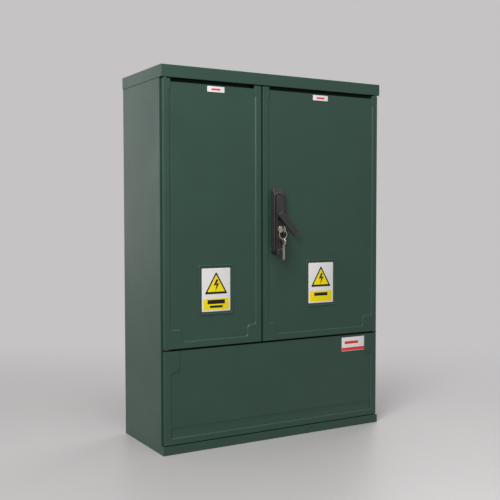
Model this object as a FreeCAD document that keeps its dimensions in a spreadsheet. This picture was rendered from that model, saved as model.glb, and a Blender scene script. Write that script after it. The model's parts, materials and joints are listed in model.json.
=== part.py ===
import FreeCAD, Part
import math
import os

import Sketcher
from FreeCAD import Placement, Rotation, Vector

os.makedirs("parts", exist_ok=True)

# Free-standing cabinet for an electricity service and its meter.
# Origin: middle of the base, on the ground. +Z is up and the doors face -Y. Millimetres.

doc = FreeCAD.newDocument("service_cabinet")
sheet = doc.addObject("Spreadsheet::Sheet", "Sizes")


# ---------------------------------------------------------------- sizes and helpers

class Size:
    """A length with its value now and the expression that ties it to the sheet."""

    def __init__(self, text, value):
        self.text = text
        self.value = float(value)

    def __add__(self, other):
        other = as_size(other)
        return Size(f"({self.text} + {other.text})", self.value + other.value)

    def __sub__(self, other):
        other = as_size(other)
        return Size(f"({self.text} - {other.text})", self.value - other.value)

    def __mul__(self, factor):
        return Size(f"({self.text} * {factor})", self.value * factor)

    def __truediv__(self, factor):
        return Size(f"({self.text} / {factor})", self.value / factor)

    def __neg__(self):
        return Size(f"(0 - {self.text})", -self.value)

    def __radd__(self, other):
        return as_size(other) + self

    def __rsub__(self, other):
        return as_size(other) - self


def as_size(amount):
    if isinstance(amount, Size):
        return amount
    return Size(f"({amount})", amount)


def driving(alias, value):
    """Put one driving size in the sheet and return it."""
    driving.row += 1
    sheet.set(f"A{driving.row}", alias)
    sheet.set(f"B{driving.row}", str(value))
    sheet.setAlias(f"B{driving.row}", alias)
    return Size(f"Sizes.{alias}", value)


driving.row = 0
nodes = []


def bind(piece, prop, amount):
    piece.setExpression(prop, as_size(amount).text)


def block(x_span, y_span, z_span):
    """A box between two places on each axis."""
    piece = doc.addObject("Part::Box", "block")
    for prop, axis, (low, high) in zip(("Length", "Width", "Height"), "xyz", (x_span, y_span, z_span)):
        bind(piece, prop, as_size(high) - low)
        bind(piece, f"Placement.Base.{axis}", low)
    return piece


TURN_TO_AXIS = {
    "x": Rotation(Vector(0, 1, 0), 90),
    "y": Rotation(Vector(1, 0, 0), -90),
    "z": Rotation(),
}


def post(axis, across, span, radius):
    """A cylinder along an axis; across holds its places on the other two axes, in X, Y, Z order."""
    low, high = span
    piece = doc.addObject("Part::Cylinder", "post")
    piece.Placement = Placement(Vector(), TURN_TO_AXIS[axis])
    bind(piece, "Radius", radius)
    bind(piece, "Height", as_size(high) - low)
    places = dict(zip([name for name in "xyz" if name != axis], across))
    places[axis] = low
    for name, place in places.items():
        bind(piece, f"Placement.Base.{name}", place)
    return piece


def around(place, width):
    """The span of a width centred on a place."""
    return (as_size(place) - as_size(width) / 2, as_size(place) + as_size(width) / 2)


def join(*pieces):
    whole = doc.addObject("Part::MultiFuse", "join")
    whole.Shapes = list(pieces)
    whole.Refine = True
    return whole


def take(base, *tools):
    """The base with every tool cut from it."""
    tool = tools[0] if len(tools) == 1 else join(*tools)
    rest = doc.addObject("Part::Cut", "cut")
    rest.Base = base
    rest.Tool = tool
    rest.Refine = True
    return rest


def together(pieces):
    """Separate solids kept in one piece, such as a set of equal screws."""
    group = doc.addObject("Part::Compound", "group")
    group.Links = list(pieces)
    return group


def node(label, piece):
    piece.Label = label
    nodes.append(piece)
    return piece


def plane_of(body, role):
    return next(feature for feature in body.Origin.OriginFeatures if feature.Role == role)


def outline(body, role, offset, corners):
    """A closed sketch of straight lines whose corners are tied to the sheet."""
    sketch = body.newObject("Sketcher::SketchObject", "outline")
    sketch.AttachmentSupport = [(plane_of(body, role), "")]
    sketch.MapMode = "FlatFace"
    bind(sketch, "AttachmentOffset.Base.z", offset)
    corners = [(as_size(across), as_size(up)) for across, up in corners]
    points = [Vector(across.value, up.value, 0) for across, up in corners]
    for start, end in zip(points, points[1:] + points[:1]):
        sketch.addGeometry(Part.LineSegment(start, end), False)
    for index, (across, up) in enumerate(corners):
        before = (index - 1) % len(corners)
        sketch.addConstraint(Sketcher.Constraint("Coincident", before, 2, index, 1))
        for kind, amount in (("DistanceX", across), ("DistanceY", up)):
            place = sketch.addConstraint(Sketcher.Constraint(kind, -1, 1, index, 1, amount.value))
            sketch.setExpression(f"Constraints[{place}]", amount.text)
    return sketch


def pad(body, role, offset, length, corners):
    """Material from the offset plane along its normal: +Z, -Y or +X for XY, XZ or YZ."""
    feature = body.newObject("PartDesign::Pad", "pad")
    feature.Profile = outline(body, role, offset, corners)
    bind(feature, "Length", length)
    doc.recompute()
    return feature


def pocket(body, role, offset, length, corners, along_normal=False):
    """A cut from the offset plane against its normal, or along it; it has to remove material."""
    before = body.Shape.Volume
    feature = body.newObject("PartDesign::Pocket", "pocket")
    feature.Profile = outline(body, role, offset, corners)
    feature.Reversed = along_normal
    bind(feature, "Length", length)
    doc.recompute()
    if body.Shape.Volume > before - 1:
        raise RuntimeError(f"a pocket of {body.Label} removed nothing")
    return feature


def cut_round(body, role, offset, length, centre, radius, along_normal=False):
    """A round hole through a body, from the offset plane."""
    before = body.Shape.Volume
    sketch = body.newObject("Sketcher::SketchObject", "circle")
    sketch.AttachmentSupport = [(plane_of(body, role), "")]
    sketch.MapMode = "FlatFace"
    bind(sketch, "AttachmentOffset.Base.z", offset)
    across, up = as_size(centre[0]), as_size(centre[1])
    sketch.addGeometry(Part.Circle(Vector(across.value, up.value, 0), Vector(0, 0, 1), radius.value), False)
    for kind, amount in (("DistanceX", across), ("DistanceY", up)):
        place = sketch.addConstraint(Sketcher.Constraint(kind, -1, 1, 0, 3, amount.value))
        sketch.setExpression(f"Constraints[{place}]", amount.text)
    place = sketch.addConstraint(Sketcher.Constraint("Radius", 0, radius.value))
    sketch.setExpression(f"Constraints[{place}]", radius.text)
    feature = body.newObject("PartDesign::Pocket", "hole")
    feature.Profile = sketch
    feature.Reversed = along_normal
    bind(feature, "Length", length)
    doc.recompute()
    if body.Shape.Volume > before - 1:
        raise RuntimeError(f"a hole of {body.Label} removed nothing")


def new_body(label):
    body = doc.addObject("PartDesign::Body", label)
    return node(label, body)


def rectangle(x_span, y_span):
    return [(x_span[0], y_span[0]), (x_span[1], y_span[0]), (x_span[1], y_span[1]), (x_span[0], y_span[1])]


def edge_names(shape, wanted):
    """Names of the edges whose middle and direction the test accepts."""
    found = []
    for number, edge in enumerate(shape.Edges, 1):
        if edge.Curve.TypeId != "Part::GeomLine":
            continue
        start, end = edge.Vertexes[0].Point, edge.Vertexes[-1].Point
        if wanted((start + end) / 2, (end - start).normalize(), edge.Length):
            found.append(f"Edge{number}")
    return found


def round_edges(body, radius, wanted):
    names = edge_names(body.Shape, wanted)
    if not names:
        raise RuntimeError(f"{body.Label} has no such edge to round")
    base = body.Tip
    feature = body.newObject("PartDesign::Fillet", "rounding")
    feature.Base = (base, names)
    bind(feature, "Radius", radius)
    doc.recompute()
    return feature


# ---------------------------------------------------------------- driving sizes

cabinet_width = driving("cabinet_width", 660)
cabinet_depth = driving("cabinet_depth", 250)
cabinet_height = driving("cabinet_height", 945)
skin_inset = driving("skin_inset", 1.5)          # walls and doors stand in under the roof by this
wall = driving("wall", 4)
fit = driving("fit", 0.5)                         # between pieces that slip together
slip = driving("slip", 0.3)                       # beside a moving piece
seat_play = driving("seat_play", 0.1)             # round a pin in its own body

roof_rim_height = driving("roof_rim_height", 30)
roof_rim = driving("roof_rim", 3.5)
roof_crown = driving("roof_crown", 6)
roof_skirt_drop = driving("roof_skirt_drop", 15)

base_height = driving("base_height", 22)
base_rail = driving("base_rail", 30)
base_bolt_radius = driving("base_bolt_radius", 6.5)

panel_top = driving("panel_top", 254)
panel_lift = driving("panel_lift", 2)             # under the lower panel
door_bottom = driving("door_bottom", 259)
door_side_inset = driving("door_side_inset", 4)     # doors and lower panel, in from the side walls
door_top_gap = driving("door_top_gap", 2)
left_door_width = driving("left_door_width", 273)
door_gap = driving("door_gap", 5)
door_depth = driving("door_depth", 9.8)
door_skin = driving("door_skin", 5)
door_rim = driving("door_rim", 6)
field_depth = driving("field_depth", 2)
field_inset = driving("field_inset", 15)
ear_width = driving("ear_width", 19)
ear_height = driving("ear_height", 26)
vent_slot = driving("vent_slot", 8)
corner_notch_width = driving("corner_notch_width", 31)
corner_notch_height = driving("corner_notch_height", 30)
door_edge_round = driving("door_edge_round", 3)

hinge_edge = driving("hinge_edge", 7)             # hinge axis in from the door's outer edge
hinge_back = driving("hinge_back", 5)             # hinge axis behind the door's face
hinge_pin_radius = driving("hinge_pin_radius", 2.5)
hinge_pin_reach = driving("hinge_pin_reach", 13)
hinge_play = driving("hinge_play", 0.1)
hinge_block_width = driving("hinge_block_width", 15)
hinge_block_height = driving("hinge_block_height", 22)
hinge_tab = driving("hinge_tab", 3)

jamb_back = driving("jamb_back", 13.5)            # jamb face behind the doors' face
jamb_width = driving("jamb_width", 28)
rail_depth = driving("rail_depth", 30)
opening_bottom = driving("opening_bottom", 292)
opening_top_drop = driving("opening_top_drop", 45)
sill_skirt = driving("sill_skirt", 67)

seal_inset = driving("seal_inset", 18)
seal_width = driving("seal_width", 8)

plate_thick = driving("plate_thick", 1)
warning_width = driving("warning_width", 80)
warning_height = driving("warning_height", 108)
left_warning_x = driving("left_warning_x", 142)   # from the left edge of the left door
left_warning_z = driving("left_warning_z", 399)
right_warning_x = driving("right_warning_x", 182)
right_warning_z = driving("right_warning_z", 403)
door_sticker_width = driving("door_sticker_width", 48)
door_sticker_height = driving("door_sticker_height", 14)
left_sticker_x = driving("left_sticker_x", 143)
right_sticker_x = driving("right_sticker_x", 179)
door_sticker_drop = driving("door_sticker_drop", 18)
panel_sticker_width = driving("panel_sticker_width", 77)
panel_sticker_height = driving("panel_sticker_height", 38)
panel_sticker_x = driving("panel_sticker_x", 80)  # from the right edge of the panel
panel_sticker_z = driving("panel_sticker_z", 229)

lock_height = driving("lock_height", 586)
lock_edge = driving("lock_edge", 42)              # lever axis in from the right door's free edge
housing_width = driving("housing_width", 37)
housing_top = driving("housing_top", 69)          # above the lever axis
housing_drop = driving("housing_drop", 97)
housing_depth = driving("housing_depth", 15)
housing_slope = driving("housing_slope", 20)         # the top end slopes back over this height
housing_floor = driving("housing_floor", 2)
housing_screw_depth = driving("housing_screw_depth", 3.5)
insert_width = driving("insert_width", 24)
insert_top = driving("insert_top", 51)
insert_drop = driving("insert_drop", 104)
insert_proud = driving("insert_proud", 2.5)
insert_channel = driving("insert_channel", 1)
grip_height = driving("grip_height", 16)
grip_proud = driving("grip_proud", 5)
well_depth = driving("well_depth", 5)                # the well in the lock body, behind the lever and key
well_rim = driving("well_rim", 2.5)
lever_width = driving("lever_width", 17.5)
lever_length = driving("lever_length", 73)
lever_thick = driving("lever_thick", 5)
lever_gap = driving("lever_gap", 3)
lever_angle = driving("lever_angle", 42)
boss_radius = driving("boss_radius", 9.5)
spindle_radius = driving("spindle_radius", 4)
cam_radius = driving("cam_radius", 20)
cam_thick = driving("cam_thick", 4)
cam_back = driving("cam_back", 17.5)              # cam plate behind the doors' face
cam_angle = driving("cam_angle", 14)
cam_pin_radius = driving("cam_pin_radius", 3)
rod_width = driving("rod_width", 16)
rod_thick = driving("rod_thick", 4)
rod_gap = driving("rod_gap", 1)
rod_slot_play = driving("rod_slot_play", 1.1)
rod_slot_length = driving("rod_slot_length", 15)
rod_clear = driving("rod_clear", 1.5)             # rod ends short of their keepers when withdrawn
keeper_play = driving("keeper_play", 1.5)
guide_wall = driving("guide_wall", 5)
guide_height = driving("guide_height", 12)
guide_play = driving("guide_play", 0.5)

cylinder_drop = driving("cylinder_drop", 38)
cylinder_radius = driving("cylinder_radius", 8.5)
cylinder_proud = driving("cylinder_proud", 1.5)
cylinder_length = driving("cylinder_length", 28)
plug_radius = driving("plug_radius", 6)
key_thick = driving("key_thick", 2)
key_bow_radius = driving("key_bow_radius", 10)
key_bow_hole = driving("key_bow_hole", 2.5)
key_blade = driving("key_blade", 8)
key_length = driving("key_length", 48)
ring_radius = driving("ring_radius", 11.5)
ring_wire = driving("ring_wire", 0.9)
spare_key_spread = driving("spare_key_spread", 9)    # degrees round the ring from its lowest point

flush_bolt_edge = driving("flush_bolt_edge", 18)
flush_bolt_width = driving("flush_bolt_width", 12)
flush_bolt_length = driving("flush_bolt_length", 90)
flush_knob_radius = driving("flush_knob_radius", 4)
flush_knob_reach = driving("flush_knob_reach", 7)

field_low = driving("field_low", 38)              # heights on the lower panel, from the ground
groove_low = driving("groove_low", 40)
groove_high = driving("groove_high", 66)
shoulder = driving("shoulder", 203)
panel_field_inset = driving("panel_field_inset", 16.5)
shoulder_width = driving("shoulder_width", 24)
peg_radius = driving("peg_radius", 4)
peg_reach = driving("peg_reach", 10)

partition_setback = driving("partition_setback", 65)
board_thick = driving("board_thick", 4)
board_standoff = driving("board_standoff", 15)
board_edge = driving("board_edge", 14)
board_margin = driving("board_margin", 28)
standoff_radius = driving("standoff_radius", 8)
floor_hole_radius = driving("floor_hole_radius", 20)
floor_hole_pitch = driving("floor_hole_pitch", 108)  # from a side wall, and between its two holes
grommet_wall = driving("grommet_wall", 6)
grommet_lip = driving("grommet_lip", 5)
grommet_lip_height = driving("grommet_lip_height", 3)

fuse_width = driving("fuse_width", 106)
fuse_height = driving("fuse_height", 197)
fuse_depth = driving("fuse_depth", 45)
fuse_z = driving("fuse_z", 500)
fuse_wall = driving("fuse_wall", 4)
fuse_lid_height = driving("fuse_lid_height", 140)
fuse_lid_depth = driving("fuse_lid_depth", 26)
fuse_handle_depth = driving("fuse_handle_depth", 14)
fuse_pin_radius = driving("fuse_pin_radius", 3)
fuse_lug_radius = driving("fuse_lug_radius", 6)
fuse_pitch = driving("fuse_pitch", 33)
link_width = driving("link_width", 26)
link_height = driving("link_height", 56)
link_depth = driving("link_depth", 22)
blade_width = driving("blade_width", 6)
blade_reach = driving("blade_reach", 14)
jaw_thick = driving("jaw_thick", 2)
jaw_gap = driving("jaw_gap", 0.4)

neutral_z = driving("neutral_z", 410)
neutral_length = driving("neutral_length", 150)
neutral_height = driving("neutral_height", 20)
neutral_thick = driving("neutral_thick", 5)
neutral_standoff = driving("neutral_standoff", 30)
insulator_radius = driving("insulator_radius", 11)

meter_width = driving("meter_width", 172)
meter_height = driving("meter_height", 200)
meter_depth = driving("meter_depth", 60)
meter_z = driving("meter_z", 560)
meter_wall = driving("meter_wall", 3)
terminal_height = driving("terminal_height", 62)
terminal_inset = driving("terminal_inset", 2)
window_width = driving("window_width", 120)
window_height = driving("window_height", 70)
window_drop = driving("window_drop", 30)
window_thick = driving("window_thick", 2)
display_width = driving("display_width", 84)
display_height = driving("display_height", 32)
display_thick = driving("display_thick", 2)

isolator_width = driving("isolator_width", 72)
isolator_height = driving("isolator_height", 90)
isolator_depth = driving("isolator_depth", 50)
isolator_z = driving("isolator_z", 360)
toggle_width = driving("toggle_width", 60)
toggle_radius = driving("toggle_radius", 7)
toggle_reach = driving("toggle_reach", 16)
toggle_angle = driving("toggle_angle", 35)        # the toggle points up by this when it is on
din_rail_height = driving("din_rail_height", 35)
din_rail_depth = driving("din_rail_depth", 7.5)
din_rail_length = driving("din_rail_length", 240)

cable_rail_z = driving("cable_rail_z", 165)
cable_rail_height = driving("cable_rail_height", 24)
cable_rail_depth = driving("cable_rail_depth", 20)
cable_rail_y = driving("cable_rail_y", 30)
clamp_pitch = driving("clamp_pitch", 90)
clamp_width = driving("clamp_width", 46)
clamp_bore = driving("clamp_bore", 15)
clamp_height = driving("clamp_height", 22)
earth_bar_length = driving("earth_bar_length", 220)
earth_bar_z = driving("earth_bar_z", 225)
screw_radius = driving("screw_radius", 2.5)
screw_head_radius = driving("screw_head_radius", 5)
screw_head = driving("screw_head", 1.5)

# Shares of a run, a width or a depth.
REAR_RIBS = (-0.5, 0, 0.5)
TOP_VENTS = (-0.75, -0.3, 0.15, 0.6)
ROD_GUIDE_NEAR_LOCK = 0.25
ROD_GUIDE_NEAR_TIP = 0.85
ROD_PAST_SLOT = 0.75
ROD_SLOT_SHIFT = 0.07                              # the pin's mean place is inside the cam's radius
BOLT_GUIDE_NEAR_TIP = 0.25
BOLT_GUIDE_NEAR_KNOB = 0.62
GROOVE_DEEPER = 1.75
GRIP_WIDTH_SHARE = 0.7
GRIP_HOLLOW_SHARE = 0.55
BLADE_FRONT_SHARE = 0.75
BLADE_BACK_SHARE = 0.1
BAR_ENDS = (-0.4, 0.4)
NEUTRAL_SCREWS = (-0.4, -0.24, -0.08, 0.08, 0.24, 0.4)
EARTH_STUDS = (-0.32, -0.16, 0, 0.16, 0.32)
STUD_WIDER = 1.6
HOLE_TO_RIM = 1.6                                  # a key's hole sits this many hole radii from its rim
TOGGLE_BAR_SHARE = 0.7

# ---------------------------------------------------------------- places worked out from them

half_width = cabinet_width / 2
front_y = -(cabinet_depth / 2)
back_y = cabinet_depth / 2
roof_z = cabinet_height - roof_rim_height          # underside of the rim, top of the walls
roof_ceiling = cabinet_height - wall
wall_out = half_width - skin_inset
wall_in = wall_out - wall
face_y = front_y + skin_inset                      # front face of doors and lower panel
rear_y = back_y - skin_inset                       # rear face of the rear wall
rear_in = rear_y - wall
door_back_y = face_y + door_depth
skin_back_y = face_y + door_skin
jamb_y = face_y + jamb_back
jamb_back_y = jamb_y + wall
rail_back_y = jamb_y + rail_depth
door_out = wall_out - door_side_inset              # outer edge of each door
door_top = roof_z - door_top_gap
opening_top = roof_z - opening_top_drop
left_free = -door_out + left_door_width
right_free = left_free + door_gap
hinge_x = door_out - hinge_edge
hinge_y = face_y + hinge_back
lock_x = right_free + lock_edge
rod_front_y = face_y + cam_back + cam_thick + rod_gap
rod_back_y = rod_front_y + rod_thick
rod_mid_y = (rod_front_y + rod_back_y) / 2
upper_rod_x = lock_x - cam_radius
lower_rod_x = lock_x + cam_radius
bolt_x = left_free - flush_bolt_edge
board_front_y = rear_in - board_standoff - board_thick


# ---------------------------------------------------------------- shell

def make_base_frame():
    """A flat ring that the cabinet stands on, with a bolt hole in each corner."""
    body = new_body("base_frame")
    pad(body, "XY_Plane", 0, base_height, rectangle((-wall_out, wall_out), (face_y, rear_y)))
    pocket(body, "XY_Plane", 0, base_height,
           rectangle((base_rail - wall_out, wall_out - base_rail), (face_y + base_rail, rear_y - base_rail)),
           along_normal=True)
    for side in (-1, 1):
        for depth in (face_y + base_rail / 2, rear_y - base_rail / 2):
            cut_round(body, "XY_Plane", 0, base_height, ((wall_out - base_rail / 2) * side, depth),
                      base_bolt_radius, along_normal=True)


def make_side_wall(label, side):
    """A channel on end: the wall, a jamb flange at the front and a screw flange at the rear."""
    body = new_body(label)
    jamb_in = wall_out - jamb_width
    flange_in = wall_out - jamb_width + wall
    profile = [
        (wall_out, jamb_y), (wall_out, rear_in), (flange_in, rear_in), (flange_in, rear_in - wall),
        (wall_in, rear_in - wall), (wall_in, jamb_back_y), (jamb_in, jamb_back_y), (jamb_in, jamb_y),
    ]
    corners = [(across * side, depth) for across, depth in profile]
    pad(body, "XY_Plane", base_height, roof_z - base_height, corners)
    for height in screw_heights():
        cut_round(body, "XZ_Plane", wall - rear_in, wall * 2, (screw_x() * side, height),
                  screw_radius + seat_play)
    for across, height in peg_places():
        if (across.value > 0) == (side > 0):
            pocket(body, "XZ_Plane", -jamb_y, wall, rectangle(around(across, peg_radius * 2 + fit * 2),
                                                              around(height, peg_radius * 2 + fit * 2)))


def screw_x():
    return wall_in - wall * 2


def screw_heights():
    low = base_height + board_margin * 2
    high = roof_z - board_margin * 2
    return [low, (low + high) / 2, high]


def make_rear_wall():
    """A flat wall with three upright ribs, screwed to the side walls' flanges."""
    plate = block((-wall_out, wall_out), (rear_in, rear_y), (base_height, roof_z))
    ribs = [block(around(half_width * share, wall * 8), (rear_y, back_y),
                  (base_height + board_margin * 2, roof_z - board_margin * 2)) for share in REAR_RIBS]
    holes = [post("y", (screw_x() * side, height), (rear_in - fit, rear_y + fit), screw_radius + seat_play)
             for side in (-1, 1) for height in screw_heights()]
    node("rear_wall", take(join(plate, *ribs), *holes))


def make_screws():
    screws = []
    for side in (-1, 1):
        for height in screw_heights():
            across = (screw_x() * side, height)
            head = post("y", across, (rear_y, rear_y + screw_head), screw_head_radius)
            shank = post("y", across, (rear_in - wall * 2, rear_y), screw_radius)
            screws.append(join(head, shank))
    node("assembly_screws", together(screws))


def make_roof():
    """A cap with a deep rim, a skirt that drops inside three walls, and a low crown that sheds rain."""
    cap = block((-half_width, half_width), (front_y, back_y), (roof_z, cabinet_height))
    hollow = block((roof_rim - half_width, half_width - roof_rim), (front_y + roof_rim, back_y - roof_rim),
                   (roof_z, roof_ceiling))
    crown = doc.addObject("Part::Wedge", "crown")
    low_edge = roof_rim * 2
    for prop, amount in (("Xmin", low_edge - half_width), ("Xmax", half_width - low_edge),
                         ("Zmin", front_y + low_edge), ("Zmax", back_y - low_edge),
                         ("Ymin", 0), ("Ymax", roof_crown),
                         ("X2min", back_y - half_width), ("X2max", half_width - back_y),
                         ("Z2min", -low_edge), ("Z2max", low_edge)):
        bind(crown, prop, amount)
    crown.Placement = Placement(Vector(), Rotation(Vector(1, 0, 0), 90))
    bind(crown, "Placement.Base.z", cabinet_height)
    skirt_out = wall_in - fit
    skirt_in = skirt_out - wall
    skirt_z = (roof_z - roof_skirt_drop, roof_ceiling)
    skirt_front = rail_back_y + fit
    skirt_rear = rear_in - fit
    skirts = [block((skirt_in * side, skirt_out * side) if side > 0 else (-skirt_out, -skirt_in),
                    (skirt_front, skirt_rear), skirt_z) for side in (-1, 1)]
    skirts.append(block((-skirt_out, skirt_out), (skirt_rear - wall, skirt_rear), skirt_z))
    ear = jamb_width + fit
    reliefs = [block(around((wall_out - ear / 2) * side, ear), (rear_in - wall - fit, rear_in),
                     (skirt_z[0], roof_z))
               for side in (-1, 1)]
    node("roof", join(take(cap, hollow), crown, take(join(*skirts), *reliefs)))


def keeper_slots(z_span):
    """Slots that the lock rod and the flush bolt enter, shared by the top rail and the sill."""
    y_span = (rod_front_y - keeper_play, rod_back_y + keeper_play)
    return lambda rod_x: [
        block(around(rod_x, rod_width + keeper_play * 2), y_span, z_span),
        block(around(bolt_x, flush_bolt_width + keeper_play * 2), y_span, z_span),
    ]


def hinge_tabs(z_span, drilled):
    """A tab at each outer corner that reaches forward to the hinge axis."""
    tabs = []
    for side in (-1, 1):
        x_span = around((half_width - roof_rim - fit - hinge_block_width / 2) * side, hinge_block_width)
        tabs.append(block(x_span, (face_y + hinge_back - hinge_pin_radius - fit, jamb_y), z_span))
    holes = [post("z", (hinge_x * side, hinge_y), drilled, hinge_pin_radius + seat_play) for side in (-1, 1)]
    return tabs, holes


def make_top_rail():
    """A channel behind the doors' tops: door stop, keepers and the upper hinge tabs."""
    span = (-wall_in, wall_in)
    web_z = (opening_top, opening_top + wall)
    web = block(span, (jamb_back_y, rail_back_y), web_z)
    front = block((jamb_width - wall_out, wall_out - jamb_width), (jamb_y, jamb_back_y),
                  (opening_top, roof_z))
    rear = block(span, (rail_back_y - wall, rail_back_y), (opening_top, roof_z))
    tabs, holes = hinge_tabs((roof_z, roof_z + hinge_tab), (roof_z - fit, roof_z + hinge_tab + fit))
    strap = block(span, (jamb_y, rail_back_y), (roof_z, roof_z + hinge_tab))
    vents = [block(around(half_width * share, half_width / 4), (jamb_back_y + wall, rail_back_y - wall),
                   (roof_z - fit, roof_z + hinge_tab + fit)) for share in TOP_VENTS]
    slots = keeper_slots((opening_top - fit, opening_top + wall + fit))(upper_rod_x)
    node("top_rail", take(join(web, front, rear, strap, *tabs), *(slots + holes + vents)))


def make_door_sill():
    """The rail between the doors and the lower panel, with keepers and the lower hinge tabs."""
    web_z = (opening_bottom - wall, opening_bottom)
    web = block((-wall_in, wall_in), (jamb_back_y, rail_back_y), web_z)
    front = block((jamb_width - wall_out, wall_out - jamb_width), (jamb_y, jamb_back_y),
                  (opening_bottom - sill_skirt, opening_bottom))
    rear = block((-wall_in, wall_in), (rail_back_y - wall, rail_back_y),
                 (opening_bottom - wall * 6, opening_bottom))
    tab_z = (door_bottom - fit * 2 - hinge_tab, door_bottom - fit * 2)
    tabs, holes = hinge_tabs(tab_z, (tab_z[0] - fit, tab_z[1] + fit))
    slots = keeper_slots((opening_bottom - wall - fit, opening_bottom + fit))(lower_rod_x)
    node("door_sill", take(join(web, front, rear), *slots))
    node("lower_hinge_tabs", together([take(tab, hole) for tab, hole in zip(tabs, holes)]))


def make_hinge_pins(label, side):
    """Upper and lower pins that the door turns on, each set in its tab."""
    across = (hinge_x * side, hinge_y)
    upper = post("z", across, (door_top - hinge_pin_reach, roof_z + hinge_tab), hinge_pin_radius)
    lower = post("z", across, (door_bottom - fit * 2 - hinge_tab, door_bottom + hinge_pin_reach),
                 hinge_pin_radius)
    node(label, together([upper, lower]))


# ---------------------------------------------------------------- doors and lower panel

def make_door(label, hinge_side, free_edge):
    """A moulded leaf: thin skin, deeper rim, raised border and two ears under the roof."""
    body = new_body(label)
    outer = door_out * hinge_side
    low, high = (outer, free_edge) if hinge_side < 0 else (free_edge, outer)
    pad(body, "XZ_Plane", -door_back_y, door_depth, rectangle((low, high), (door_bottom, door_top)))
    # The middle of the top edge is lower than the ears, so air can pass under the roof.
    pocket(body, "XZ_Plane", -face_y, door_depth,
           rectangle((low + ear_width, high - ear_width), (door_top - vent_slot, door_top + fit)))
    # The sunk field runs out at the top and leaves a wider border at the ears and bottom corners.
    left, right = low + field_inset, high - field_inset
    bottom = door_bottom + field_inset
    step = bottom + corner_notch_height
    ear_bottom = door_top - ear_height
    top = door_top - vent_slot + fit
    field = [
        (left + corner_notch_width, bottom), (right - corner_notch_width, bottom),
        (right - corner_notch_width, step), (right, step), (right, ear_bottom),
        (high - ear_width, ear_bottom), (high - ear_width, top), (low + ear_width, top),
        (low + ear_width, ear_bottom), (left, ear_bottom), (left, step), (left + corner_notch_width, step),
    ]
    pocket(body, "XZ_Plane", -face_y, field_depth, field)
    # The back is hollow except at the rim and at the two blocks that the hinge pins enter.
    hinge_in = outer - hinge_block_width * hinge_side
    rim_hinge = outer - door_rim * hinge_side
    rim_free = free_edge + door_rim * hinge_side
    inner_top = door_top - vent_slot - door_rim
    inner_bottom = door_bottom + door_rim
    hollow = [
        (hinge_in, inner_bottom), (rim_free, inner_bottom), (rim_free, inner_top), (hinge_in, inner_top),
        (hinge_in, door_top - hinge_block_height), (rim_hinge, door_top - hinge_block_height),
        (rim_hinge, door_bottom + hinge_block_height), (hinge_in, door_bottom + hinge_block_height),
    ]
    pocket(body, "XZ_Plane", -door_back_y, door_depth - door_skin, hollow, along_normal=True)
    across = (hinge_x * hinge_side, hinge_y)
    bore_depth = hinge_pin_reach + fit * 2
    cut_round(body, "XY_Plane", door_top, bore_depth, across, hinge_pin_radius + hinge_play)
    cut_round(body, "XY_Plane", door_bottom, bore_depth, across, hinge_pin_radius + hinge_play,
              along_normal=True)
    return body


def round_door(body, hinge_side):
    """The outer upright edge is rounded, so that it clears the side wall as the door turns."""
    corner_x, corner_y = (door_out * hinge_side).value, face_y.value
    round_edges(body, door_edge_round, lambda middle, way, length: abs(abs(way.z) - 1) < 1e-6
                and abs(middle.x - corner_x) < 0.01 and abs(middle.y - corner_y) < 0.01)


def make_left_door():
    body = make_door("left_door", -1, left_free)
    round_door(body, -1)


def make_right_door():
    body = make_door("right_door", 1, right_free)
    cut_round(body, "XZ_Plane", -face_y, door_skin, (lock_x, lock_height), boss_radius)
    cut_round(body, "XZ_Plane", -face_y, door_skin, (lock_x, lock_height - cylinder_drop),
              cylinder_radius + fit)
    for across in housing_screws():
        cut_round(body, "XZ_Plane", -face_y, door_skin, across, screw_radius + seat_play)
    round_door(body, 1)


def make_seal(label, hinge_side, free_edge, extra):
    """Foam strip on the back of a door, along its hinge side, top and bottom."""
    outer = (door_out - seal_inset) * hinge_side
    inner = (door_out - seal_inset - seal_width) * hinge_side
    free = free_edge + (door_rim + fit) * hinge_side
    low, high = door_bottom + seal_inset, door_top - seal_inset - fit * 4
    y_span = (skin_back_y, jamb_y - slip)
    whole = block((outer, free) if hinge_side < 0 else (free, outer), y_span, (low, high))
    window = block((inner, free + fit) if hinge_side < 0 else (free - fit, inner),
                   (skin_back_y - fit, jamb_y), (low + seal_width, high - seal_width))
    node(label, together([take(whole, window)] + extra))


def make_seals():
    # A rubber strip on the left door's free edge fills the joint between the doors.
    strip = block((left_free, right_free - fit * 2), (face_y + door_skin, door_back_y),
                  (door_bottom + fit * 2, door_top - vent_slot))
    make_seal("left_seal", -1, left_free, [strip])
    make_seal("right_seal", 1, right_free, [])


def make_plate(label, centre_x, centre_z, width, height, back):
    node(label, block(around(centre_x, width), (back - plate_thick, back), around(centre_z, height)))


def make_plates():
    field_y = face_y + field_depth
    make_plate("left_warning_plate", left_warning_x - door_out, left_warning_z, warning_width,
               warning_height, field_y)
    make_plate("right_warning_plate", right_free + right_warning_x, right_warning_z, warning_width,
               warning_height,
               field_y)
    sticker_z = door_top - door_sticker_drop
    make_plate("left_sticker", left_sticker_x - door_out, sticker_z, door_sticker_width, door_sticker_height,
               field_y)
    make_plate("right_sticker", right_free + right_sticker_x, sticker_z, door_sticker_width,
               door_sticker_height,
               field_y)
    make_plate("panel_sticker", door_out - panel_sticker_x, panel_sticker_z, panel_sticker_width,
               panel_sticker_height, field_y)


def peg_places():
    across = door_out - jamb_width / 2
    low = base_height + board_margin
    high = opening_bottom - sill_skirt - board_margin
    return [(across * side, height) for side in (-1, 1) for height in (low, high)]


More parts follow.
